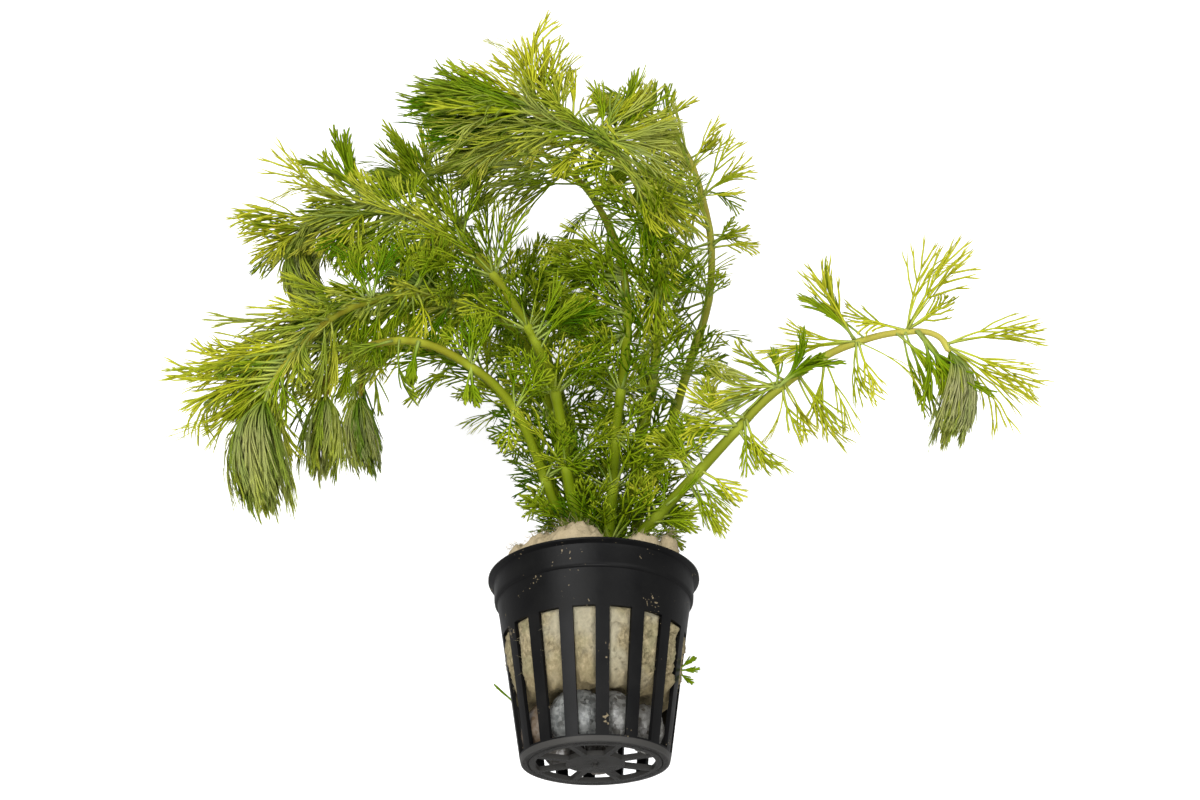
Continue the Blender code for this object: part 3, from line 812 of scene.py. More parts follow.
# Open whorls, on the stems that have them: the shares along the stem where they sit, then
# at root and tip the leaf length in mm, lean, tone and number of leaves, and where they
# turn to
GROWTH = {
    "left_mid": dict(
        nodes=(0.10, 0.20, 0.30, 0.40, 0.49, 0.57), length=(15, 20), lean=(60, 36),
        tone=(0.25, 0.5), count=(9, 12), toward=(0.4, 0.0, 0.2)),
    "left_back": dict(
        nodes=(0.10, 0.20, 0.30, 0.40, 0.50, 0.60, 0.69), length=(11, 20), lean=(60, 42),
        tone=(0.2, 0.35), count=(9, 14), toward=(0.3, 0.0, 0.2)),
    "left_high": dict(
        nodes=(0.085, 0.195, 0.32, 0.45, 0.57, 0.66), length=(17, 20), lean=(58, 38),
        tone=(0.3, 0.55), count=(8, 11), toward=(0.3, 0.0, 0.1)),
    "left_top": dict(
        nodes=(0.09, 0.18, 0.27, 0.36, 0.45, 0.54, 0.61, 0.73, 0.86), length=(18, 21),
        lean=(60, 46), tone=(0.15, 0.35), count=(12, 14), toward=(0.1, 0.0, 0.0)),
    "centre": dict(
        nodes=(0.06, 0.15, 0.315, 0.49, 0.75), length=(19, 22), lean=(60, 44),
        tone=(0.25, 0.4), count=(12, 13), toward=(-0.1, 0.0, 0.0)),
    "top": dict(
        nodes=(0.06, 0.15, 0.26, 0.395, 0.535, 0.66), length=(19, 21), lean=(60, 42),
        tone=(0.25, 0.45), count=(13, 13), toward=(-0.1, 0.0, 0.0)),
    "right_top": dict(
        nodes=(0.08, 0.16, 0.26, 0.42, 0.50), length=(17, 18), lean=(58, 42),
        tone=(0.3, 0.5), count=(11, 9), toward=(-0.5, 0.0, 0.0)),
}

# Leaves combed together by water, chosen one bundle at a time. Each row: share along the stem, the
# first and last direction seen from the front (0 right, 90 up), the lengths in mm at both, how
# many leaves, their kind, tone and wetness, which paints a pale sheen on them
FANS = {
    "top": (
        (0.97, 148, 110, 25, 22, 9, "fan", 1.0, 0.0),
        (0.97, 108, 88, 20, 17, 7, "fan", 1.0, 0.0),
        (0.93, 100, 80, 17, 14, 5, "fan", 1.0, 0.0),
        (0.94, 80, 140, 11, 12, 8, "fan", 0.7, 0.2),
        (0.99, 154, 166, 26, 28, 7, "brush", 0.2, 0.0),
        (0.99, 158, 186, 30, 30, 12, "brush", 0.15, 0.0),
        (0.96, 160, 190, 33, 33, 8, "brush", 0.3, 0.0),
        (0.99, 186, 210, 27, 25, 9, "fan", 0.45, 0.3),
        (0.93, 172, 198, 26, 26, 9, "fan", 0.65, 0.3),
        (0.86, 78, 58, 14, 17, 5, "fan", 0.7, 0.1),
        (0.86, 52, 34, 21, 23, 6, "brush", 0.5, 0.0),
        (0.87, 28, 4, 21, 21, 6, "fan", 0.65, 0.3),
        (0.86, 4, -24, 21, 24, 8, "hair", 0.7, 0.5),
        (0.86, 170, 196, 28, 26, 9, "fan", 0.6, 0.3),
        (0.85, 195, 240, 15, 14, 7, "high", 0.45, 0.0),
        (0.82, -16, -50, 20, 24, 8, "fan", 0.65, 0.4),
        (0.77, -30, -70, 22, 22, 9, "fan", 0.55, 0.1),
        (0.82, 128, 160, 12, 14, 6, "fan", 0.4, 0.2),
        (0.92, 150, 205, 14, 16, 8, "fan", 0.5, 0.3),
        (0.70, -60, -110, 20, 20, 8, "high", 0.4, 0.0),
        (0.60, -80, -130, 18, 18, 7, "high", 0.35, 0.0),
        (0.46, 120, 230, 19, 19, 9, "high", 0.3, 0.0),
        (0.33, 90, 270, 16, 16, 9, "low", 0.3, 0.0),
        (0.78, 110, 210, 14, 16, 6, "high", 0.4, 0.0),
        (0.74, -60, -100, 20, 20, 5, "high", 0.5, 0.0),
    ),
    "right_top": (
        (0.99, 152, 176, 18, 20, 5, "hair", 0.7, 0.3),
        (0.97, 100, 34, 12, 12, 5, "fan", 0.8, 0.0),
        (0.97, 140, 96, 16, 13, 4, "fan", 0.7, 0.1),
        (0.90, 158, 118, 19, 15, 7, "hair", 0.7, 0.4),
        (0.86, 62, 24, 14, 12, 4, "sparse", 0.85, 0.0),
        (0.82, 150, 112, 22, 20, 7, "hair", 0.7, 0.4),
        (0.86, 26, 6, 10, 9, 2, "high", 0.8, 0.0),
        (0.79, 54, 34, 18, 18, 3, "sparse", 0.9, 0.0),
        (0.79, 28, 4, 13, 12, 3, "high", 0.8, 0.0),
        (0.72, 140, 106, 20, 19, 6, "fan", 0.6, 0.1),
        (0.69, 34, 4, 13, 12, 4, "high", 0.75, 0.0),
        (0.68, 48, 40, 10, 9, 2, "low", 0.45, 0.0),
        (0.575, 62, 40, 8, 9, 3, "low", 0.5, 0.0),
        (0.575, 100, 250, 15, 17, 8, "high", 0.5, 0.0),
        (0.88, 200, 250, 22, 20, 8, "fan", 0.5, 0.2),
        (0.79, 200, 250, 20, 20, 6, "fan", 0.5, 0.1),
        (0.68, 190, 250, 20, 17, 7, "fan", 0.45, 0.0),
        (0.42, 10, -40, 9, 10, 3, "low", 0.5, 0.0),
        (0.36, 140, 190, 14, 16, 3, "low", 0.65, 0.3),
        (0.16, 20, -30, 12, 12, 4, "low", 0.45, 0.0),
    ),
    "left_top": (
        (0.95, 126, 112, 27, 22, 6, "brush", 0.35, 0.0),
        (0.97, 140, 176, 20, 20, 7, "fan", 0.4, 0.0),
        (0.62, 10, 70, 21, 20, 9, "high", 0.3, 0.0),
        (0.70, -20, 60, 12, 12, 8, "high", 0.35, 0.0),
        (0.62, -30, 60, 13, 13, 9, "high", 0.35, 0.0),
        (0.55, 0, 80, 15, 15, 8, "high", 0.35, 0.0),
        (0.52, 10, 60, 20, 20, 8, "high", 0.3, 0.0),
        (0.90, 132, 120, 25, 25, 3, "fan", 0.6, 0.0),
        (0.94, 178, 225, 20, 24, 9, "fan", 0.4, 0.2),
        (0.88, 60, 20, 14, 15, 4, "fan", 0.45, 0.1),
        (0.80, 130, 160, 16, 17, 3, "high", 0.4, 0.0),
        (0.80, 215, 285, 22, 21, 10, "high", 0.3, 0.0),
        (0.66, 200, 320, 20, 20, 10, "high", 0.3, 0.0),
    ),
    "centre": (
        (0.97, 164, 215, 25, 24, 10, "fan", 0.45, 0.3),
        (0.88, 178, 206, 23, 22, 8, "fan", 0.5, 0.2),
        (0.80, 70, 10, 13, 14, 6, "fan", 0.5, 0.1),
        (0.55, 140, 205, 20, 22, 9, "high", 0.35, 0.0),
        (0.46, 140, 215, 16, 17, 9, "high", 0.35, 0.0),
        (0.62, 195, 235, 18, 18, 8, "high", 0.35, 0.0),
        (0.42, 110, 250, 18, 18, 9, "low", 0.3, 0.0),
        (0.23, 60, -60, 15, 15, 6, "low", 0.3, 0.0),
        (0.80, 150, 172, 20, 22, 5, "high", 0.4, 0.0),
        (0.71, 70, -40, 15, 16, 7, "high", 0.4, 0.0),
        (0.66, 225, 270, 18, 18, 6, "high", 0.35, 0.0),
        (0.60, -20, -80, 18, 18, 7, "high", 0.4, 0.0),
    ),
    "left_high": (
        (0.885, 132, 118, 26, 26, 4, "brush", 0.65, 0.0),
        (0.885, 116, 106, 21, 20, 2, "brush", 0.65, 0.0),
        (0.42, 20, 80, 16, 16, 7, "high", 0.35, 0.0),
        (0.91, 164, 150, 22, 24, 4, "sparse", 1.0, 0.0),
        (0.99, 170, 186, 22, 21, 6, "fan", 1.0, 0.0),
        (0.99, 186, 210, 21, 20, 8, "fan", 0.75, 0.0),
        (0.99, 210, 240, 17, 16, 5, "fan", 0.6, 0.2),
        (0.93, 196, 256, 18, 20, 10, "hair", 0.6, 0.5),
        (0.86, 178, 215, 20, 22, 9, "fan", 0.6, 0.3),
        (0.80, 180, 262, 22, 20, 12, "fan", 0.5, 0.2),
        (0.72, 200, 290, 20, 20, 10, "high", 0.4, 0.0),
        (0.80, 80, 130, 12, 13, 3, "high", 0.55, 0.0),
        (0.85, 222, 266, 23, 22, 10, "high", 0.4, 0.0),
        (0.75, 232, 270, 24, 24, 9, "high", 0.35, 0.0),
        (0.90, 150, 215, 12, 14, 7, "fan", 0.5, 0.2),
    ),
    "left_mid": (
        (0.82, 196, 188, 20, 16, 4, "fan", 0.9, 0.0),
        (0.89, 194, 206, 21, 25, 7, "fan", 0.9, 0.0),
        (0.95, 192, 210, 25, 23, 8, "fan", 0.85, 0.0),
        (0.92, 204, 220, 22, 20, 5, "brush", 0.4, 0.1),
        (0.98, 198, 228, 19, 14, 7, "fan", 0.75, 0.0),
        (0.97, 255, 285, 17, 18, 7, "fan", 0.65, 0.3),
        (0.66, 20, 110, 12, 13, 6, "high", 0.45, 0.0),
        (0.56, 150, 260, 14, 15, 8, "high", 0.4, 0.0),
        (0.90, 206, 240, 23, 20, 9, "fan", 0.7, 0.4),
        (0.82, 198, 234, 24, 24, 10, "fan", 0.7, 0.4),
        (0.82, 236, 268, 22, 20, 7, "hair", 0.75, 0.4),
        (0.74, 190, 230, 22, 24, 10, "fan", 0.6, 0.2),
        (0.72, 232, 280, 20, 17, 7, "high", 0.45, 0.0),
        (0.65, 190, 222, 20, 22, 8, "fan", 0.45, 0.0),
        (0.64, 230, 280, 20, 17, 6, "high", 0.4, 0.0),
        (0.64, 60, 140, 16, 16, 8, "high", 0.35, 0.0),
        (0.74, 76, 140, 15, 14, 7, "high", 0.35, 0.0),
        (0.86, 196, 250, 14, 14, 9, "fan", 0.55, 0.3),
        (0.78, 180, 240, 14, 14, 9, "fan", 0.5, 0.2),
        (0.70, 160, 230, 14, 14, 8, "fan", 0.4, 0.0),
    ),
    "left_low": (
        (0.92, 215, 265, 15, 16, 5, "fan", 0.55, 0.1),
        (0.84, 245, 275, 13, 13, 2, "high", 0.45, 0.0),
        (0.745, 268, 270, 18, 19, 1, "strap", 0.4, 0.0),
        (0.70, 258, 240, 12, 13, 2, "strap", 0.4, 0.0),
        (0.57, 244, 284, 9, 10, 2, "strap", 0.4, 0.0),
        (0.57, 60, 120, 13, 13, 5, "low", 0.3, 0.0),
        (0.43, 242, 262, 11, 12, 3, "low", 0.4, 0.0),
        (0.43, 20, 110, 14, 14, 4, "low", 0.3, 0.0),
        (0.26, 244, 262, 9, 10, 3, "low", 0.4, 0.0),
        (0.26, 0, 100, 12, 14, 4, "low", 0.3, 0.0),
    ),
    "left_back": (
        (0.92, 190, 280, 18, 16, 8, "fan", 0.4, 0.3),
        (0.82, 170, 230, 18, 18, 9, "fan", 0.4, 0.1),
        (0.78, 60, 140, 18, 20, 9, "high", 0.3, 0.0),
    ),
    "right": (
        (0.17, 16, -25, 11, 11, 5, "high", 0.5, 0.0),
        (0.17, 60, 130, 12, 12, 4, "high", 0.4, 0.0),
        (0.30, -28, -88, 14, 15, 7, "high", 0.6, 0.0),
        (0.30, 108, 165, 14, 15, 7, "high", 0.42, 0.0),
        (0.43, -38, -44, 16, 16, 1, "sparse", 0.9, 0.0),
        (0.43, -66, -92, 14, 14, 3, "high", 0.6, 0.0),
        (0.43, 162, 196, 15, 16, 8, "high", 0.42, 0.0),
        (0.43, 122, 150, 15, 15, 3, "sparse", 0.6, 0.0),
        (0.57, 170, 198, 19, 20, 7, "fan", 0.7, 0.3),
        (0.57, 24, 40, 19, 19, 3, "brush", 0.3, 0.0),
        (0.57, 92, 122, 9, 10, 2, "high", 0.4, 0.0),
        (0.57, -60, -105, 16, 16, 4, "sparse", 0.8, 0.0),
        (0.61, -45, -80, 19, 18, 3, "sparse", 0.85, 0.0),
        (0.68, -60, -95, 17, 17, 2, "sparse", 0.85, 0.0),
        (0.765, 172, 192, 20, 22, 3, "sparse", 0.9, 0.0),
        (0.765, 137, 128, 22, 21, 4, "brush", 0.45, 0.0),
        (0.765, 124, 120, 20, 18, 2, "sparse", 1.0, 0.0),
        (0.765, 258, 276, 18, 16, 3, "sparse", 0.85, 0.0),
        (0.765, -24, -30, 17, 18, 1, "sparse", 0.85, 0.0),
        (0.88, 164, 150, 12, 17, 2, "sparse", 1.0, 0.0),
        (0.88, 84, 72, 20, 22, 2, "sparse", 1.0, 0.0),
        (0.88, 60, 46, 26, 24, 3, "sparse", 1.0, 0.0),
        (0.88, 38, 24, 17, 16, 2, "sparse", 1.0, 0.0),
        (0.88, -56, -72, 24, 27, 7, "brush", 0.4, 0.0),
        (0.985, 14, 4, 20, 20, 3, "sparse", 1.0, 0.0),
        (0.985, -26, -48, 23, 22, 6, "sparse", 0.95, 0.0),
    ),
}
FAN_UP = unit((0.0, -0.3, 1.0))

# How far along the stem, in mm, and how far round, in degrees, a bundle's leaves stray, and
# how much they vary in tone
STRAY = {
    "fan": (3.5, 12.0, 0.2), "hair": (3.5, 12.0, 0.2), "high": (3.5, 12.0, 0.2),
    "brush": (3.5, 7.0, 0.2), "sparse": (0.5, 6.0, 0.12), "strap": (0.5, 6.0, 0.12),
    "low": (0.5, 6.0, 0.12),
}


def make_fan(leaves, stem, row):
    """A bundle of leaves that spread from the stem in the plane of the picture."""
    share, first, last, long_first, long_last, count, kind, tone, wet = row
    rng = leaves.rng
    loose, swing, vary = STRAY[kind]
    for i in range(count):
        part = (i + 0.5) / count
        spot = np.clip(share * stem.length + rng.uniform(-loose, loose) * MM, 0, stem.length)
        place, _, _, radius = stem.at(spot)
        angle = math.radians(lerp(first, last, part) + rng.normal(0, swing))
        away = math.cos(angle) * RIGHT + math.sin(angle) * FAN_UP + FRONT * rng.normal(0.1, 0.24)
        leaves.leaf(
            kind, place + (away * 0.4 + FRONT * rng.uniform(0.1, 1.3)) * radius,
            unit(away), FRONT + rng.normal(0, 0.45, 3),
            lerp(long_first, long_last, part) * rng.uniform(0.85, 1.1) * MM,
            pull=(rng.normal(0, 0.48), rng.normal(0.05, 0.2), rng.normal(-0.15, 0.4)),
            spread=rng.uniform(0.65, 1.2),
            tone=near(rng, tone, vary), wet=near(rng, wet, 0.2) if wet else 0.0,
            half_width=LEAF_WIDTHS[kind],
        )


# Stems with leaves lying along their upper part, on the viewer's side: the shares where the
# first and the last one start, and how many
CLOAKS = {
    "left_mid": (0.46, 0.93, 20),
    "top": (0.66, 0.93, 12),
    "left_high": (0.60, 0.92, 9),
    "left_low": (0.74, 0.93, 5),
    "left_back": (0.62, 0.92, 7),
}
VIEWER = unit((0.0, -1.0, -0.5))


def make_cloak(nearest, stem):
    """Leaves that lie along a stem and cover it."""
    first, last, count = CLOAKS[stem.name]
    for i in range(count):
        share = lerp(first, last, (i + 0.5) / count)
        leaves = nearest(share)
        rng = leaves.rng
        place, heading, _, radius = stem.at(share * stem.length)
        away = heading + VIEWER * rng.uniform(0.1, 0.3) + rng.normal(0, 0.22, 3)
        leaves.leaf(
            "fan", place + VIEWER * radius * rng.uniform(0.8, 1.6), unit(away),
            VIEWER + rng.normal(0, 0.3, 3), rng.uniform(13, 18) * MM,
            pull=(rng.normal(0, 0.4), rng.normal(0, 0.2), rng.normal(-0.2, 0.4)),
            spread=rng.uniform(0.8, 1.3), tone=near(rng, 0.55, 0.2),
            wet=rng.uniform(0, 0.4), half_width=LEAF_WIDTHS["fan"],
        )


def make_foliage(stem, number):
    """Every leaf of a stem, each in the piece of the nearest whorl of the CAD."""
    grow = GROWTH.get(stem.name, {"nodes": ()})
    places = [share * stem.length for share in grow["nodes"]]
    shares = WHORL_SHARES[stem.name]
    groups = [Foliage(100 * number + k) for k in range(len(shares))]

    def nearest(share):
        return groups[min(range(len(shares)), key=lambda k: abs(shares[k] - share))]

    for i, distance in enumerate(places):
        share = distance / stem.length
        whorl(
            nearest(share), stem.at(distance), kind="low" if share < 0.5 else "high",
            count=round(lerp(*grow["count"], share)), turn=i * WHORL_TURN,
            length=lerp(*grow["length"], share) * MM, lean=lerp(*grow["lean"], share),
            tone=lerp(*grow["tone"], share), toward=np.array(grow["toward"]) * (1 - share),
        )
    for row in FANS[stem.name]:
        make_fan(nearest(row[0]), stem, row)
    if stem.name in CLOAKS:
        make_cloak(nearest, stem)
    for k, leaves in enumerate(groups, 1):
        strands = Strands()
        leaves.add_to(strands)
        piece = strands.build(f"whorl_{stem.name}_{k}_look", LEAF)
        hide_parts(f"whorl_{stem.name}_{k}")
    return places + [row[0] * stem.length for row in FANS[stem.name]]


# How wide a tuft's end is, of its largest radius, where it is widest, of its length, and
# how often its leaves go round it
TUFT_END = 0.75
TUFT_MIDDLE = 0.22
TUFT_TURNS = 5
TUFT_HALF_WIDTH = 0.26 * MM


def make_tuft(stem, number):
    """Young leaves drawn together by water into a drop past the end of the stem."""
    end, widest, count, tone, wet = TUFTS[stem.name]
    start, heading = stem.points[-1], stem.headings[-1]
    end = np.array(end) * MM
    reach = np.linalg.norm(end - start)
    middle = start + heading * reach * TUFT_MIDDLE
    leaves = Foliage(900 + number)
    rng = leaves.rng
    across = unit(np.cross(end - start, FRONT))
    other = unit(np.cross(end - start, across))
    for i in range(count):
        angle = math.tau * (i + rng.uniform(-0.4, 0.4)) / count * TUFT_TURNS
        out = (math.cos(angle) * across + math.sin(angle) * other) * widest * MM
        out *= math.sqrt(rng.uniform(0.02, 1.0))
        first = middle + out - start
        last = end + out * TUFT_END - (middle + out)
        leaves.leaf(
            "hair", start, first, out, reach * rng.uniform(0.82, 1.06), pull=last - first,
            spread=rng.uniform(0.5, 0.9), tone=near(rng, tone, 0.22),
            wet=wet * rng.uniform(0.1, 1.0), half_width=TUFT_HALF_WIDTH,
        )
    strands = Strands()
    leaves.add_to(strands)
    piece = strands.build("tuft_" + stem.name + "_look", YOUNG_LEAF)
    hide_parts("tuft_" + stem.name)


# The net pot, with its sizes in mm as in the CAD


RIM_RADIUS = 27.5
BAND_RADIUS = 25.8
LEDGE_HEIGHT = 41.8
BODY_TOP_RADIUS = 24.9
BASE_RADIUS = 18.5
WALL = 1.0
BARS = 16
SLOT_LOW, SLOT_HIGH = 1.7, 32.5
SLOT_LOW_WIDTH, SLOT_HIGH_WIDTH = 4.2, 5.7
SPOKES = 8
SPOKE_WIDTH = 1.5
RING_RADIUS = 14.9
DISC_RADIUS = 7.3
FLOOR = 1.2
PERIOD = math.tau / BARS
POT_FRONT = -math.pi / 2
FIRST_BAR = POT_FRONT + math.radians(5.5)

# Columns of the mesh for each bar with its slot, and the radius inside which the columns
# follow the spokes of the base
COLUMNS = 8
FLAT_RADIUS = 17.0

# The oval dent that the mould's gate left in the middle of the base
GATE_EDGE = 1.5
GATE_RADIUS = 1.2
GATE_DEPTH = 0.7
GATE_STRETCH = (0.55, 1.6)
EDGE_ROUND = 0.16


def wall_radius(height):
    """The outer radius of the pot's tapered body at a height, in mm."""
    return BASE_RADIUS + (BODY_TOP_RADIUS - BASE_RADIUS) * height / LEDGE_HEIGHT


def slot_half_angle(height):
    """Half the angle that a slot spans at this height."""
    share = np.clip((height - SLOT_LOW) / (SLOT_HIGH - SLOT_LOW), 0, 1)
    width = lerp(SLOT_LOW_WIDTH, SLOT_HIGH_WIDTH, share)
    return np.arcsin(width / 2 / wall_radius(np.clip(height, SLOT_LOW, SLOT_HIGH)))


def wall_angles(height):
    """The angles of the wall's columns: bar middle, bar edges, then four in each slot."""
    half = float(slot_half_angle(height))
    edge = PERIOD / 2 - half
    one = [0, edge * 0.6, edge, edge + half * 0.5, PERIOD / 2, PERIOD / 2 + half * 0.5,
           PERIOD - edge, PERIOD - edge * 0.6]
    return np.array([FIRST_BAR + i * PERIOD + a for i in range(BARS) for a in one])


def base_angles(radius):
    """The angles of the same columns where the base's spokes are."""
    half = math.asin(min(SPOKE_WIDTH / 2 / max(radius, SPOKE_WIDTH), 1))
    one = [0, half * 0.5, *np.linspace(half, math.tau / SPOKES - half, 2 * COLUMNS - 3),
           math.tau / SPOKES - half * 0.5]
    first = POT_FRONT + math.tau / SPOKES / 2 - 2 * PERIOD
    return np.array([first + i * 2 * PERIOD + a for i in range(SPOKES) for a in one])


def pot_rows():
    """Outer and inner (radius, height) of each row from the lip to the hub."""
    rows = [
        ((26.9, 49.0), (26.1, 49.0)), ((RIM_RADIUS, 48.75), (25.7, 48.8)),
        ((RIM_RADIUS, 48.25), (25.1, 48.2)), ((26.15, 47.7), (24.9, 47.6)),
        ((25.95, 46.9), (24.85, 46.8)), ((BAND_RADIUS, 43.0), (24.8, 43.5)),
        ((25.7, 42.3), (24.7, 43.1)), ((25.4, 41.95), (24.3, 42.8)),
        ((25.0, 41.8), (23.9, 42.3)), ((BODY_TOP_RADIUS, 41.3), (23.8, 41.6)),
    ]
    heights = (38.0, 35.0, SLOT_HIGH, 27.5, 24.0, 20.0, 16.0, 12.0, 8.0, 4.5, SLOT_LOW)
    rows += [((wall_radius(h), h), (wall_radius(h) - WALL, h)) for h in heights]
    rows += [
        ((BASE_RADIUS, 0.5), (17.6, 1.4)), ((18.35, 0.12), (17.3, FLOOR)),
        ((18.0, 0.0), (16.9, FLOOR)), ((16.6, 0.0), (16.0, FLOOR)),
    ]
    rows += [((r, 0.0), (r, FLOOR)) for r in (RING_RADIUS, 12.4, 9.9, DISC_RADIUS, 4.0, GATE_EDGE)]
    rows.append(((GATE_RADIUS, GATE_DEPTH), (GATE_RADIUS, FLOOR)))
    return rows


def make_pot():
    """An outer and an inner skin of rows and columns, joined round every slot and gap."""
    rows = pot_rows()
    count = BARS * COLUMNS
    skins = []
    for side in (0, 1):
        points = []
        for row in rows:
            radius, height = row[side]
            in_base = row[0][1] == 0.0 and row[0][0] < FLAT_RADIUS
            angles = base_angles(radius) if in_base else wall_angles(height)
            wide, deep = GATE_STRETCH if radius <= GATE_EDGE else (1, 1)
            points.append(np.stack((
                radius * wide * np.cos(angles), radius * deep * np.sin(angles),
                np.full(count, height)), axis=1))
        skins.append(np.array(points).reshape(-1, 3))
    verts = np.vstack((*skins, (0, 0, GATE_DEPTH), (0, 0, FLOOR))) * MM
    inner = len(rows) * count
    hubs = (2 * inner, 2 * inner + 1)
    tops = [row[0] for row in rows]
    slots = range(tops.index((wall_radius(SLOT_HIGH), SLOT_HIGH)),
                  tops.index((wall_radius(SLOT_LOW), SLOT_LOW)))
    ring = tops.index((RING_RADIUS, 0.0))
    openings = range(ring, ring + 3)

    def solid(row, column):
        """Whether the wall has material between this row and column and the next."""
        if row < 0 or row >= len(rows) - 1:
            return False
        if row in slots:
            return not 2 <= column % COLUMNS <= 5
        if row in openings:
            return not 2 <= column % (2 * COLUMNS) <= 2 * COLUMNS - 3
        return True

    def outer(row, column):
        return row * count + column % count

    faces = []
    for row in range(len(rows) - 1):
        for column in range(count):
            if not solid(row, column):
                continue
            a, b = outer(row, column), outer(row, column + 1)
            c, d = outer(row + 1, column + 1), outer(row + 1, column)
            faces.append((a, d, c, b))
            faces.append((a + inner, b + inner, c + inner, d + inner))
            if not solid(row - 1, column):
                faces.append((a, b, b + inner, a + inner))
            if not solid(row + 1, column) and row < len(rows) - 2:
                faces.append((c, d, d + inner, c + inner))
            if not solid(row, (column - 1) % count):
                faces.append((d, a, a + inner, d + inner))
            if not solid(row, (column + 1) % count):
                faces.append((b, c, c + inner, b + inner))
    last = len(rows) - 1
    for column in range(count):
        a, b = outer(last, column), outer(last, column + 1)
        faces.append((a, hubs[0], b))
        faces.append((a + inner, b + inner, hubs[1]))
    mesh = bpy.data.meshes.new("net_pot_look")
    mesh.from_pydata(verts, [], faces)
    mesh.shade_smooth()
    mesh.materials.append(PLASTIC)
    pot = add_object("net_pot_look", mesh)
    rounded = pot.modifiers.new("rounded", "BEVEL")
    rounded.width = EDGE_ROUND * MM
    rounded.segments = 2
    rounded.limit_method = "ANGLE"
    rounded.angle_limit = math.radians(40)
    rounded.harden_normals = True
    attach(pot, "root")
    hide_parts("net_pot")


# The rock wool: its base, its top, and lumps of (x, y, height, spread), in mm


WOOL_LOW = 14.6
WOOL_TOP = 49.5
WOOL_LUMPS = (
    (-4.5, -15.5, 8.4, 7.6), (-13.0, -13.5, 6.6, 5.6), (-19.0, -8.5, 5.6, 4.6),
    (12.5, -16.0, 4.6, 5.5), (19.4, -8.8, 8.8, 3.6), (6.0, 14.0, 4.5, 7.0),
    (-9.0, 12.0, 5.0, 6.0),
)
WOOL_COLUMNS = 240
WOOL_SIDE_TOP = 48.2
WOOL_GAP = 0.2
FIBRES = 1300
TOP_FIBRES = 0.7


def lumpy(point, size, octaves=4):
    """Fractal noise between about -1 and 1 at a point in mm."""
    return noise.fractal(Vector(point) / size, 0.6, 2.0, octaves)


def slot_share(angle):
    """How far an angle is from the nearest slot's middle, in slot periods."""
    return ((angle - FIRST_BAR) / PERIOD) % 1.0 - 0.5


def smooth_step(value, low, high):
    t = np.clip((value - low) / (high - low), 0, 1)
    return t * t * (3 - 2 * t)


def lump_height(x, y):
    return max(
        height * math.exp(-(((x - lump_x) ** 2 + (y - lump_y) ** 2) / spread**2) ** 1.6)
        for lump_x, lump_y, height, spread in WOOL_LUMPS
    )


def wool_point(angle, row_radius, height, part):
    """A point of the wool's skin: part is 'low', 'side' or 'top'."""
    x, y = math.cos(angle), math.sin(angle)
    if part == "side":
        wall = wall_radius(min(height, LEDGE_HEIGHT))
        half = float(slot_half_angle(height)) / PERIOD
        open_here = 1 - smooth_step(abs(slot_share(angle)), half * 0.60, half * 1.02)
        open_here *= smooth_step(SLOT_HIGH - height, -0.1, 1.0)
        soft = lumpy((x * wall, y * wall, height), 5.0)
        fine = lumpy((x * wall, y * wall, height), 1.1, 3)
        crack = math.exp(-(lumpy((x * wall, y * wall, height + 40), 7.0, 3) / 0.05) ** 2)
        bulge = open_here * (0.9 + 0.7 * soft - 0.9 * crack)
        row_radius = wall - WALL - WOOL_GAP + bulge + 0.22 * fine * open_here
        if height < WOOL_LOW + 4:
            edge = (WOOL_LOW + 4 - height) / 4
            row_radius -= 2.2 * edge * edge
            height += 1.6 * lumpy((x * 9, y * 9, 3), 2.5) * edge
    elif part == "top":
        inside = row_radius / (BODY_TOP_RADIUS - WALL)
        height += lump_height(x * row_radius, y * row_radius) * (1.1 - 0.25 * inside)
        rough = lumpy((x * row_radius, y * row_radius, 5), 2.6)
        fine = lumpy((x * row_radius, y * row_radius, 9), 0.9, 3)
        height += (2.0 * rough + 1.1 * fine) * min(1.0, 1.6 * (1 - inside) + 0.35)
    else:
        height += 1.2 * lumpy((x * row_radius, y * row_radius, 1), 4.0)
    return (x * row_radius, y * row_radius, height)


def make_wool():
    """The plug as one skin of rings: its base, its side behind the slots, and its top."""
    low_radius = wall_radius(WOOL_LOW) - WALL - 2.4
    high_radius = BODY_TOP_RADIUS - WALL - WOOL_GAP
    sides = np.linspace(WOOL_LOW + 0.3, WOOL_SIDE_TOP, 80)
    rows = [(low_radius * share, WOOL_LOW, "low") for share in np.linspace(0.1, 1, 7)]
    rows += [(0.0, height, "side") for height in sides]
    rows += [(high_radius * share, WOOL_TOP, "top") for share in np.linspace(0.985, 0.03, 44)]
    angles = np.arange(WOOL_COLUMNS) * math.tau / WOOL_COLUMNS
    verts = [wool_point(angle, *row) for row in rows for angle in angles]
    verts += [(0, 0, WOOL_LOW), (0, 0, WOOL_TOP + 0.6)]
    faces = tube_faces(len(rows), WOOL_COLUMNS)
    wool = add_mesh("rock_wool_look", np.array(verts) * MM, faces, WOOL)
    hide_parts("rock_wool")


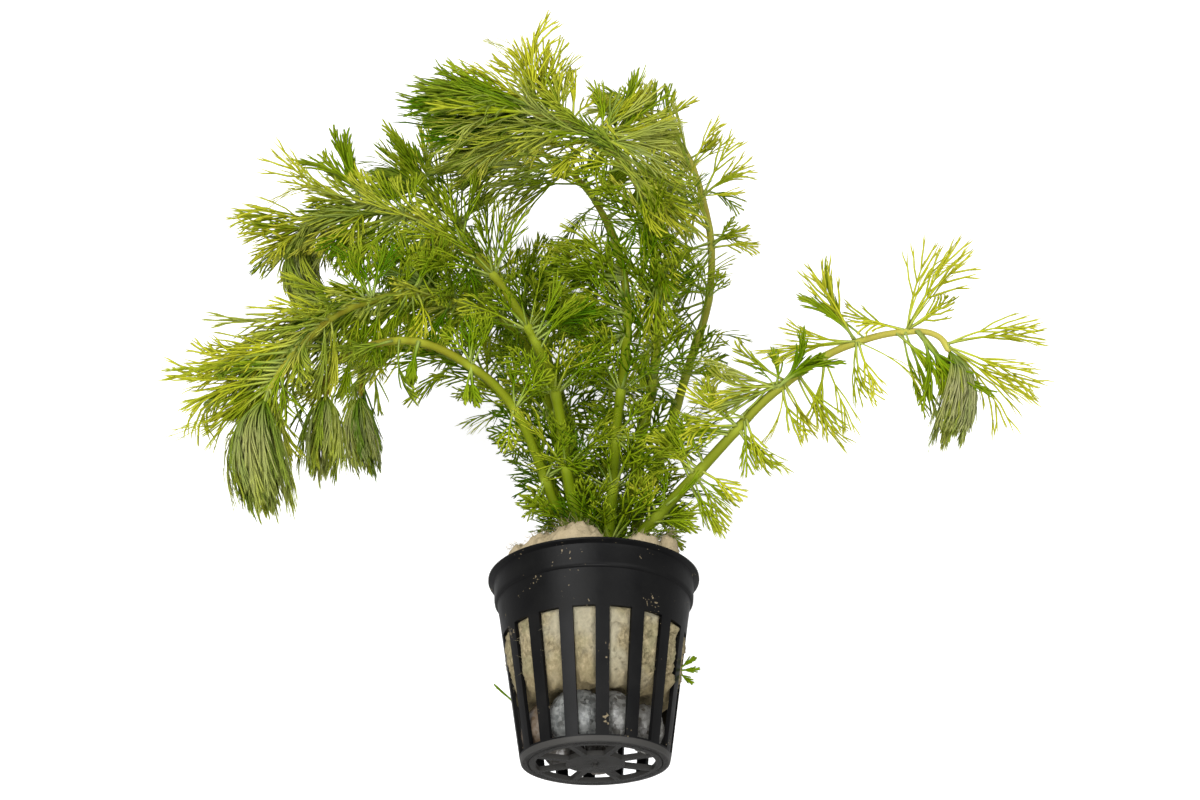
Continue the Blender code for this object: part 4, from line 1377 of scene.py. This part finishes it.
def make_fibres():
    """Torn mineral fibres on the lumps at the top and at the edges of the slots."""
    rng = np.random.default_rng(7)
    lines = []
    while len(lines) < FIBRES:
        if rng.random() < TOP_FIBRES:
            lump_x, lump_y, height, spread = WOOL_LUMPS[rng.integers(len(WOOL_LUMPS))]
            x, y = rng.normal((lump_x, lump_y), spread * 0.6)
            if math.hypot(x, y) > BODY_TOP_RADIUS - 1.4:
                continue
            start = np.array((x, y, WOOL_TOP + lump_height(x, y) - 0.1))
            away = unit(np.array((x, y, 0.0)) * 0.05 + rng.normal(0, 0.8, 3) + (0, 0, 0.5))
            length = rng.uniform(0.8, 2.8)
        else:
            height = rng.uniform(WOOL_LOW + 3, SLOT_HIGH - 1)
            slot = rng.integers(BARS) + 0.5
            side = rng.choice((-1, 1)) * slot_half_angle(height) * rng.uniform(0.4, 0.95)
            angle = FIRST_BAR + slot * PERIOD + side
            radius = wall_radius(height) - WALL + 0.35
            out = np.array((math.cos(angle), math.sin(angle), 0.0))
            start = out * radius + (0, 0, height)
            away = unit(out * 0.5 + rng.normal(0, 0.7, 3))
            length = rng.uniform(0.5, 1.6)
        bend = rng.normal(0, 0.5, 3)
        t = np.linspace(0, 1, 5)[:, None]
        lines.append(start + length * (away * t + bend * t**2 * 0.5))
    lines = np.array(lines) * MM
    width = np.tile(np.array((0.05, 0.05, 0.045, 0.03)) * MM, (FIBRES, 1))
    normals = np.broadcast_to((0.3, -0.5, 0.8), lines.shape)
    strands = Strands()
    strands.add(lines, width, width, normals, np.zeros((FIBRES, 5, 3)))
    fibres = strands.build("rock_wool_fibres", WOOL)


# The ballast stones: centre and half sizes in mm, the turn, and how brown each one is


STONES = {
    "front": ((-4.4, -11.3, 8.2), (5.2, 6.9, 6.7), -113.0, 0.0),
    "front_right": ((5.2, -11.9, 7.9), (4.7, 4.6, 6.5), -66.0, 0.15),
    "right": ((12.0, -6.6, 6.8), (4.4, 5.0, 5.6), -29.0, 0.25),
    "left": ((-13.2, -4.6, 7.2), (4.3, 6.2, 6.0), 204.0, 1.0),
    "back_left": ((-8.3, 7.3, 6.6), (5.0, 5.0, 5.0), 139.0, 0.4),
    "middle": ((1.6, 2.4, 6.5), (3.9, 4.6, 4.9), 20.0, 0.3),
    "back": ((0.8, 12.6, 6.0), (3.6, 4.6, 4.4), 86.0, 0.5),
}


def make_stone(name, centre, sizes, turn, brown):
    """A broken and worn lump: a rounded form with flattened sides and a gritty skin."""
    shape = bmesh.new()
    bmesh.ops.create_icosphere(shape, subdivisions=4, radius=1.0)
    seed = Vector(centre) * 3.7
    rng = np.random.default_rng(int(abs(centre[0] * 10)) + 5)
    flats = [(Vector(unit(rng.normal(0, 1, 3))), rng.uniform(0.8, 0.94)) for _ in range(6)]
    turned = Matrix.Rotation(math.radians(turn), 3, "Z")
    for vertex in shape.verts:
        point = vertex.co.copy()
        for facing, depth in flats:
            over = point.dot(facing) - depth
            if over > 0:
                point -= facing * over * 0.85
        point *= 1.07 + 0.07 * noise.fractal(point * 2.0 + seed, 0.8, 2.0, 3)
        point *= 1.0 + 0.022 * noise.fractal(point * 9.0 + seed, 0.7, 2.0, 3)
        point = Vector(a * b for a, b in zip(point, sizes))
        vertex.co = (turned @ point + Vector(centre)) * MM
    mesh = bpy.data.meshes.new(f"stone_{name}_look")
    shape.to_mesh(mesh)
    shape.free()
    mesh.shade_smooth()
    layer = mesh.attributes.new("tone", "FLOAT", "POINT")
    layer.data.foreach_set("value", np.full(len(mesh.vertices), brown, np.float32))
    mesh.materials.append(GRANITE)
    stone = add_object(f"stone_{name}_look", mesh)
    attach(stone, "root")
    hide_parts(f"stone_{name}")


# The small leaves that grew out through the slots: where each starts and ends, in mm, and
# how wide they spread


SPRIGS = {
    "right": (((21.2, -2.1, 23.5), (25.2, -3.0, 26.2)), ((21.2, -2.1, 23.2), (25.8, -4.0, 22.8)),
              ((21.2, -2.1, 22.6), (24.4, -3.2, 19.8))),
    "left": (((-20.1, 2.0, 16.5), (-24.8, 1.2, 20.6)),),
}
SPRIG_SPREAD = {"right": 0.75, "left": 0.15}
SPRIG_UP = unit(FRONT + (0, 0, -0.4))
SPRIG_HALF_WIDTH = 0.2 * MM


def make_sprig(name, number):
    """Small divided leaves from one place behind a slot."""
    leaves = Foliage(700 + number)
    for start, end in SPRIGS[name]:
        start, end = np.array(start) * MM, np.array(end) * MM
        reach = np.linalg.norm(end - start)
        leaves.leaf("high", start, unit(end - start), SPRIG_UP, reach,
                    spread=SPRIG_SPREAD[name], tone=0.2, half_width=SPRIG_HALF_WIDTH)
    strands = Strands()
    leaves.add_to(strands)
    piece = strands.build(f"sprig_{name}_look", LEAF)
    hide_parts(f"sprig_{name}")


make_pot()
make_wool()
make_fibres()
for name, stone in STONES.items():
    make_stone(name, *stone)
for number, name in enumerate(SPRIGS):
    make_sprig(name, number)

for number, name in enumerate(STEMS):
    stem = Stem(name)
    places = make_foliage(stem, number)
    make_stem(stem, places)
    make_tuft(stem, number)


# The studio


def white_material():
    """Matte white on the side that faces the object, and clear from behind."""
    look = Look("paper_white")
    look.surface(grey(0.6), roughness=0.9, specular=0.0)
    look.shader.inputs["Emission Color"].default_value = grey(1.0)
    look.shader.inputs["Emission Strength"].default_value = 0.62
    both_sides = look.node("ShaderNodeNewGeometry", "Backfacing")
    look.with_shader(both_sides, look.node("ShaderNodeBsdfTransparent", 0))
    return look.material


def add_floor():
    """A pale floor that sweeps up into a pale backdrop behind the plant."""
    size, back, cove, height, steps = 3.0, 0.068, 0.02, 3.0, 8
    profile = [(-size, 0.0)]
    for i in range(steps + 1):
        angle = math.pi / 2 * i / steps
        profile.append((back - cove + cove * math.sin(angle), cove - cove * math.cos(angle)))
    profile.append((back, height))
    verts = [(x, y, z) for y, z in profile for x in (-size, size)]
    faces = [(2 * i, 2 * i + 1, 2 * i + 3, 2 * i + 2) for i in range(len(profile) - 1)]
    mesh = bpy.data.meshes.new("floor")
    mesh.from_pydata(verts, [], faces)
    mesh.shade_smooth()
    mesh.materials.append(white_material())
    floor = add_object("floor", mesh)
    floor.visible_shadow = False
    floor.visible_diffuse = False
    floor.visible_glossy = False
    floor.visible_transmission = False


def add_light(name, place, target, size, power):
    """A soft round light that the camera doesn't see."""
    data = bpy.data.lights.new(name, "AREA")
    data.shape = "DISK"
    data.size = size
    data.energy = power
    light = add_object(name, data)
    light.location = place
    light.rotation_euler = (Vector(target) - Vector(place)).to_track_quat("-Z", "Y").to_euler()
    light.visible_camera = False


# The surround's strength, then each light: its place, what it points at, its size and power
DOME_LIGHT = 0.6
LIGHTS = {
    "key": ((-0.5, -1.15, 0.15), (0, 0, 0.1), 1.0, 16),
    "front": ((0.6, -1.0, -0.2), (0, 0, 0.1), 0.7, 5),
    "low": ((0.0, -0.5, -0.7), (0, 0, 0.0), 0.5, 5),
}


def add_studio():
    """A dim white surround that the camera sees as white paper, and the lights."""
    world = bpy.data.worlds.new("studio")
    bpy.context.scene.world = world
    world.use_nodes = True
    nodes, links = world.node_tree.nodes, world.node_tree.links
    soft = nodes["Background"]
    soft.inputs["Color"].default_value = grey(1.0)
    soft.inputs["Strength"].default_value = DOME_LIGHT
    white = nodes.new("ShaderNodeBackground")
    white.inputs["Color"].default_value = grey(1.0)
    seen = nodes.new("ShaderNodeLightPath")
    both = nodes.new("ShaderNodeMixShader")
    links.new(seen.outputs["Is Camera Ray"], both.inputs["Fac"])
    links.new(soft.outputs[0], both.inputs[1])
    links.new(white.outputs[0], both.inputs[2])
    links.new(both.outputs[0], nodes["World Output"].inputs["Surface"])
    for name, settings in LIGHTS.items():
        add_light(name, *settings)
    bpy.context.scene.view_settings.view_transform = "Standard"


def add_camera():
    data = bpy.data.cameras.new("camera")
    data.lens = CAMERA_LENS
    data.sensor_width = CAMERA_SENSOR
    data.clip_start = 0.01
    camera = add_object("camera", data)
    camera.matrix_world = (
        Matrix.Translation(Vector(CAMERA_PLACE) * MM)
        @ Matrix.Rotation(math.radians(90 + CAMERA_PITCH_DEG), 4, "X")
        @ Matrix.Rotation(math.radians(CAMERA_ROLL_DEG), 4, "Z")
    )
    bpy.context.scene.camera = camera


add_floor()
add_studio()
add_camera()
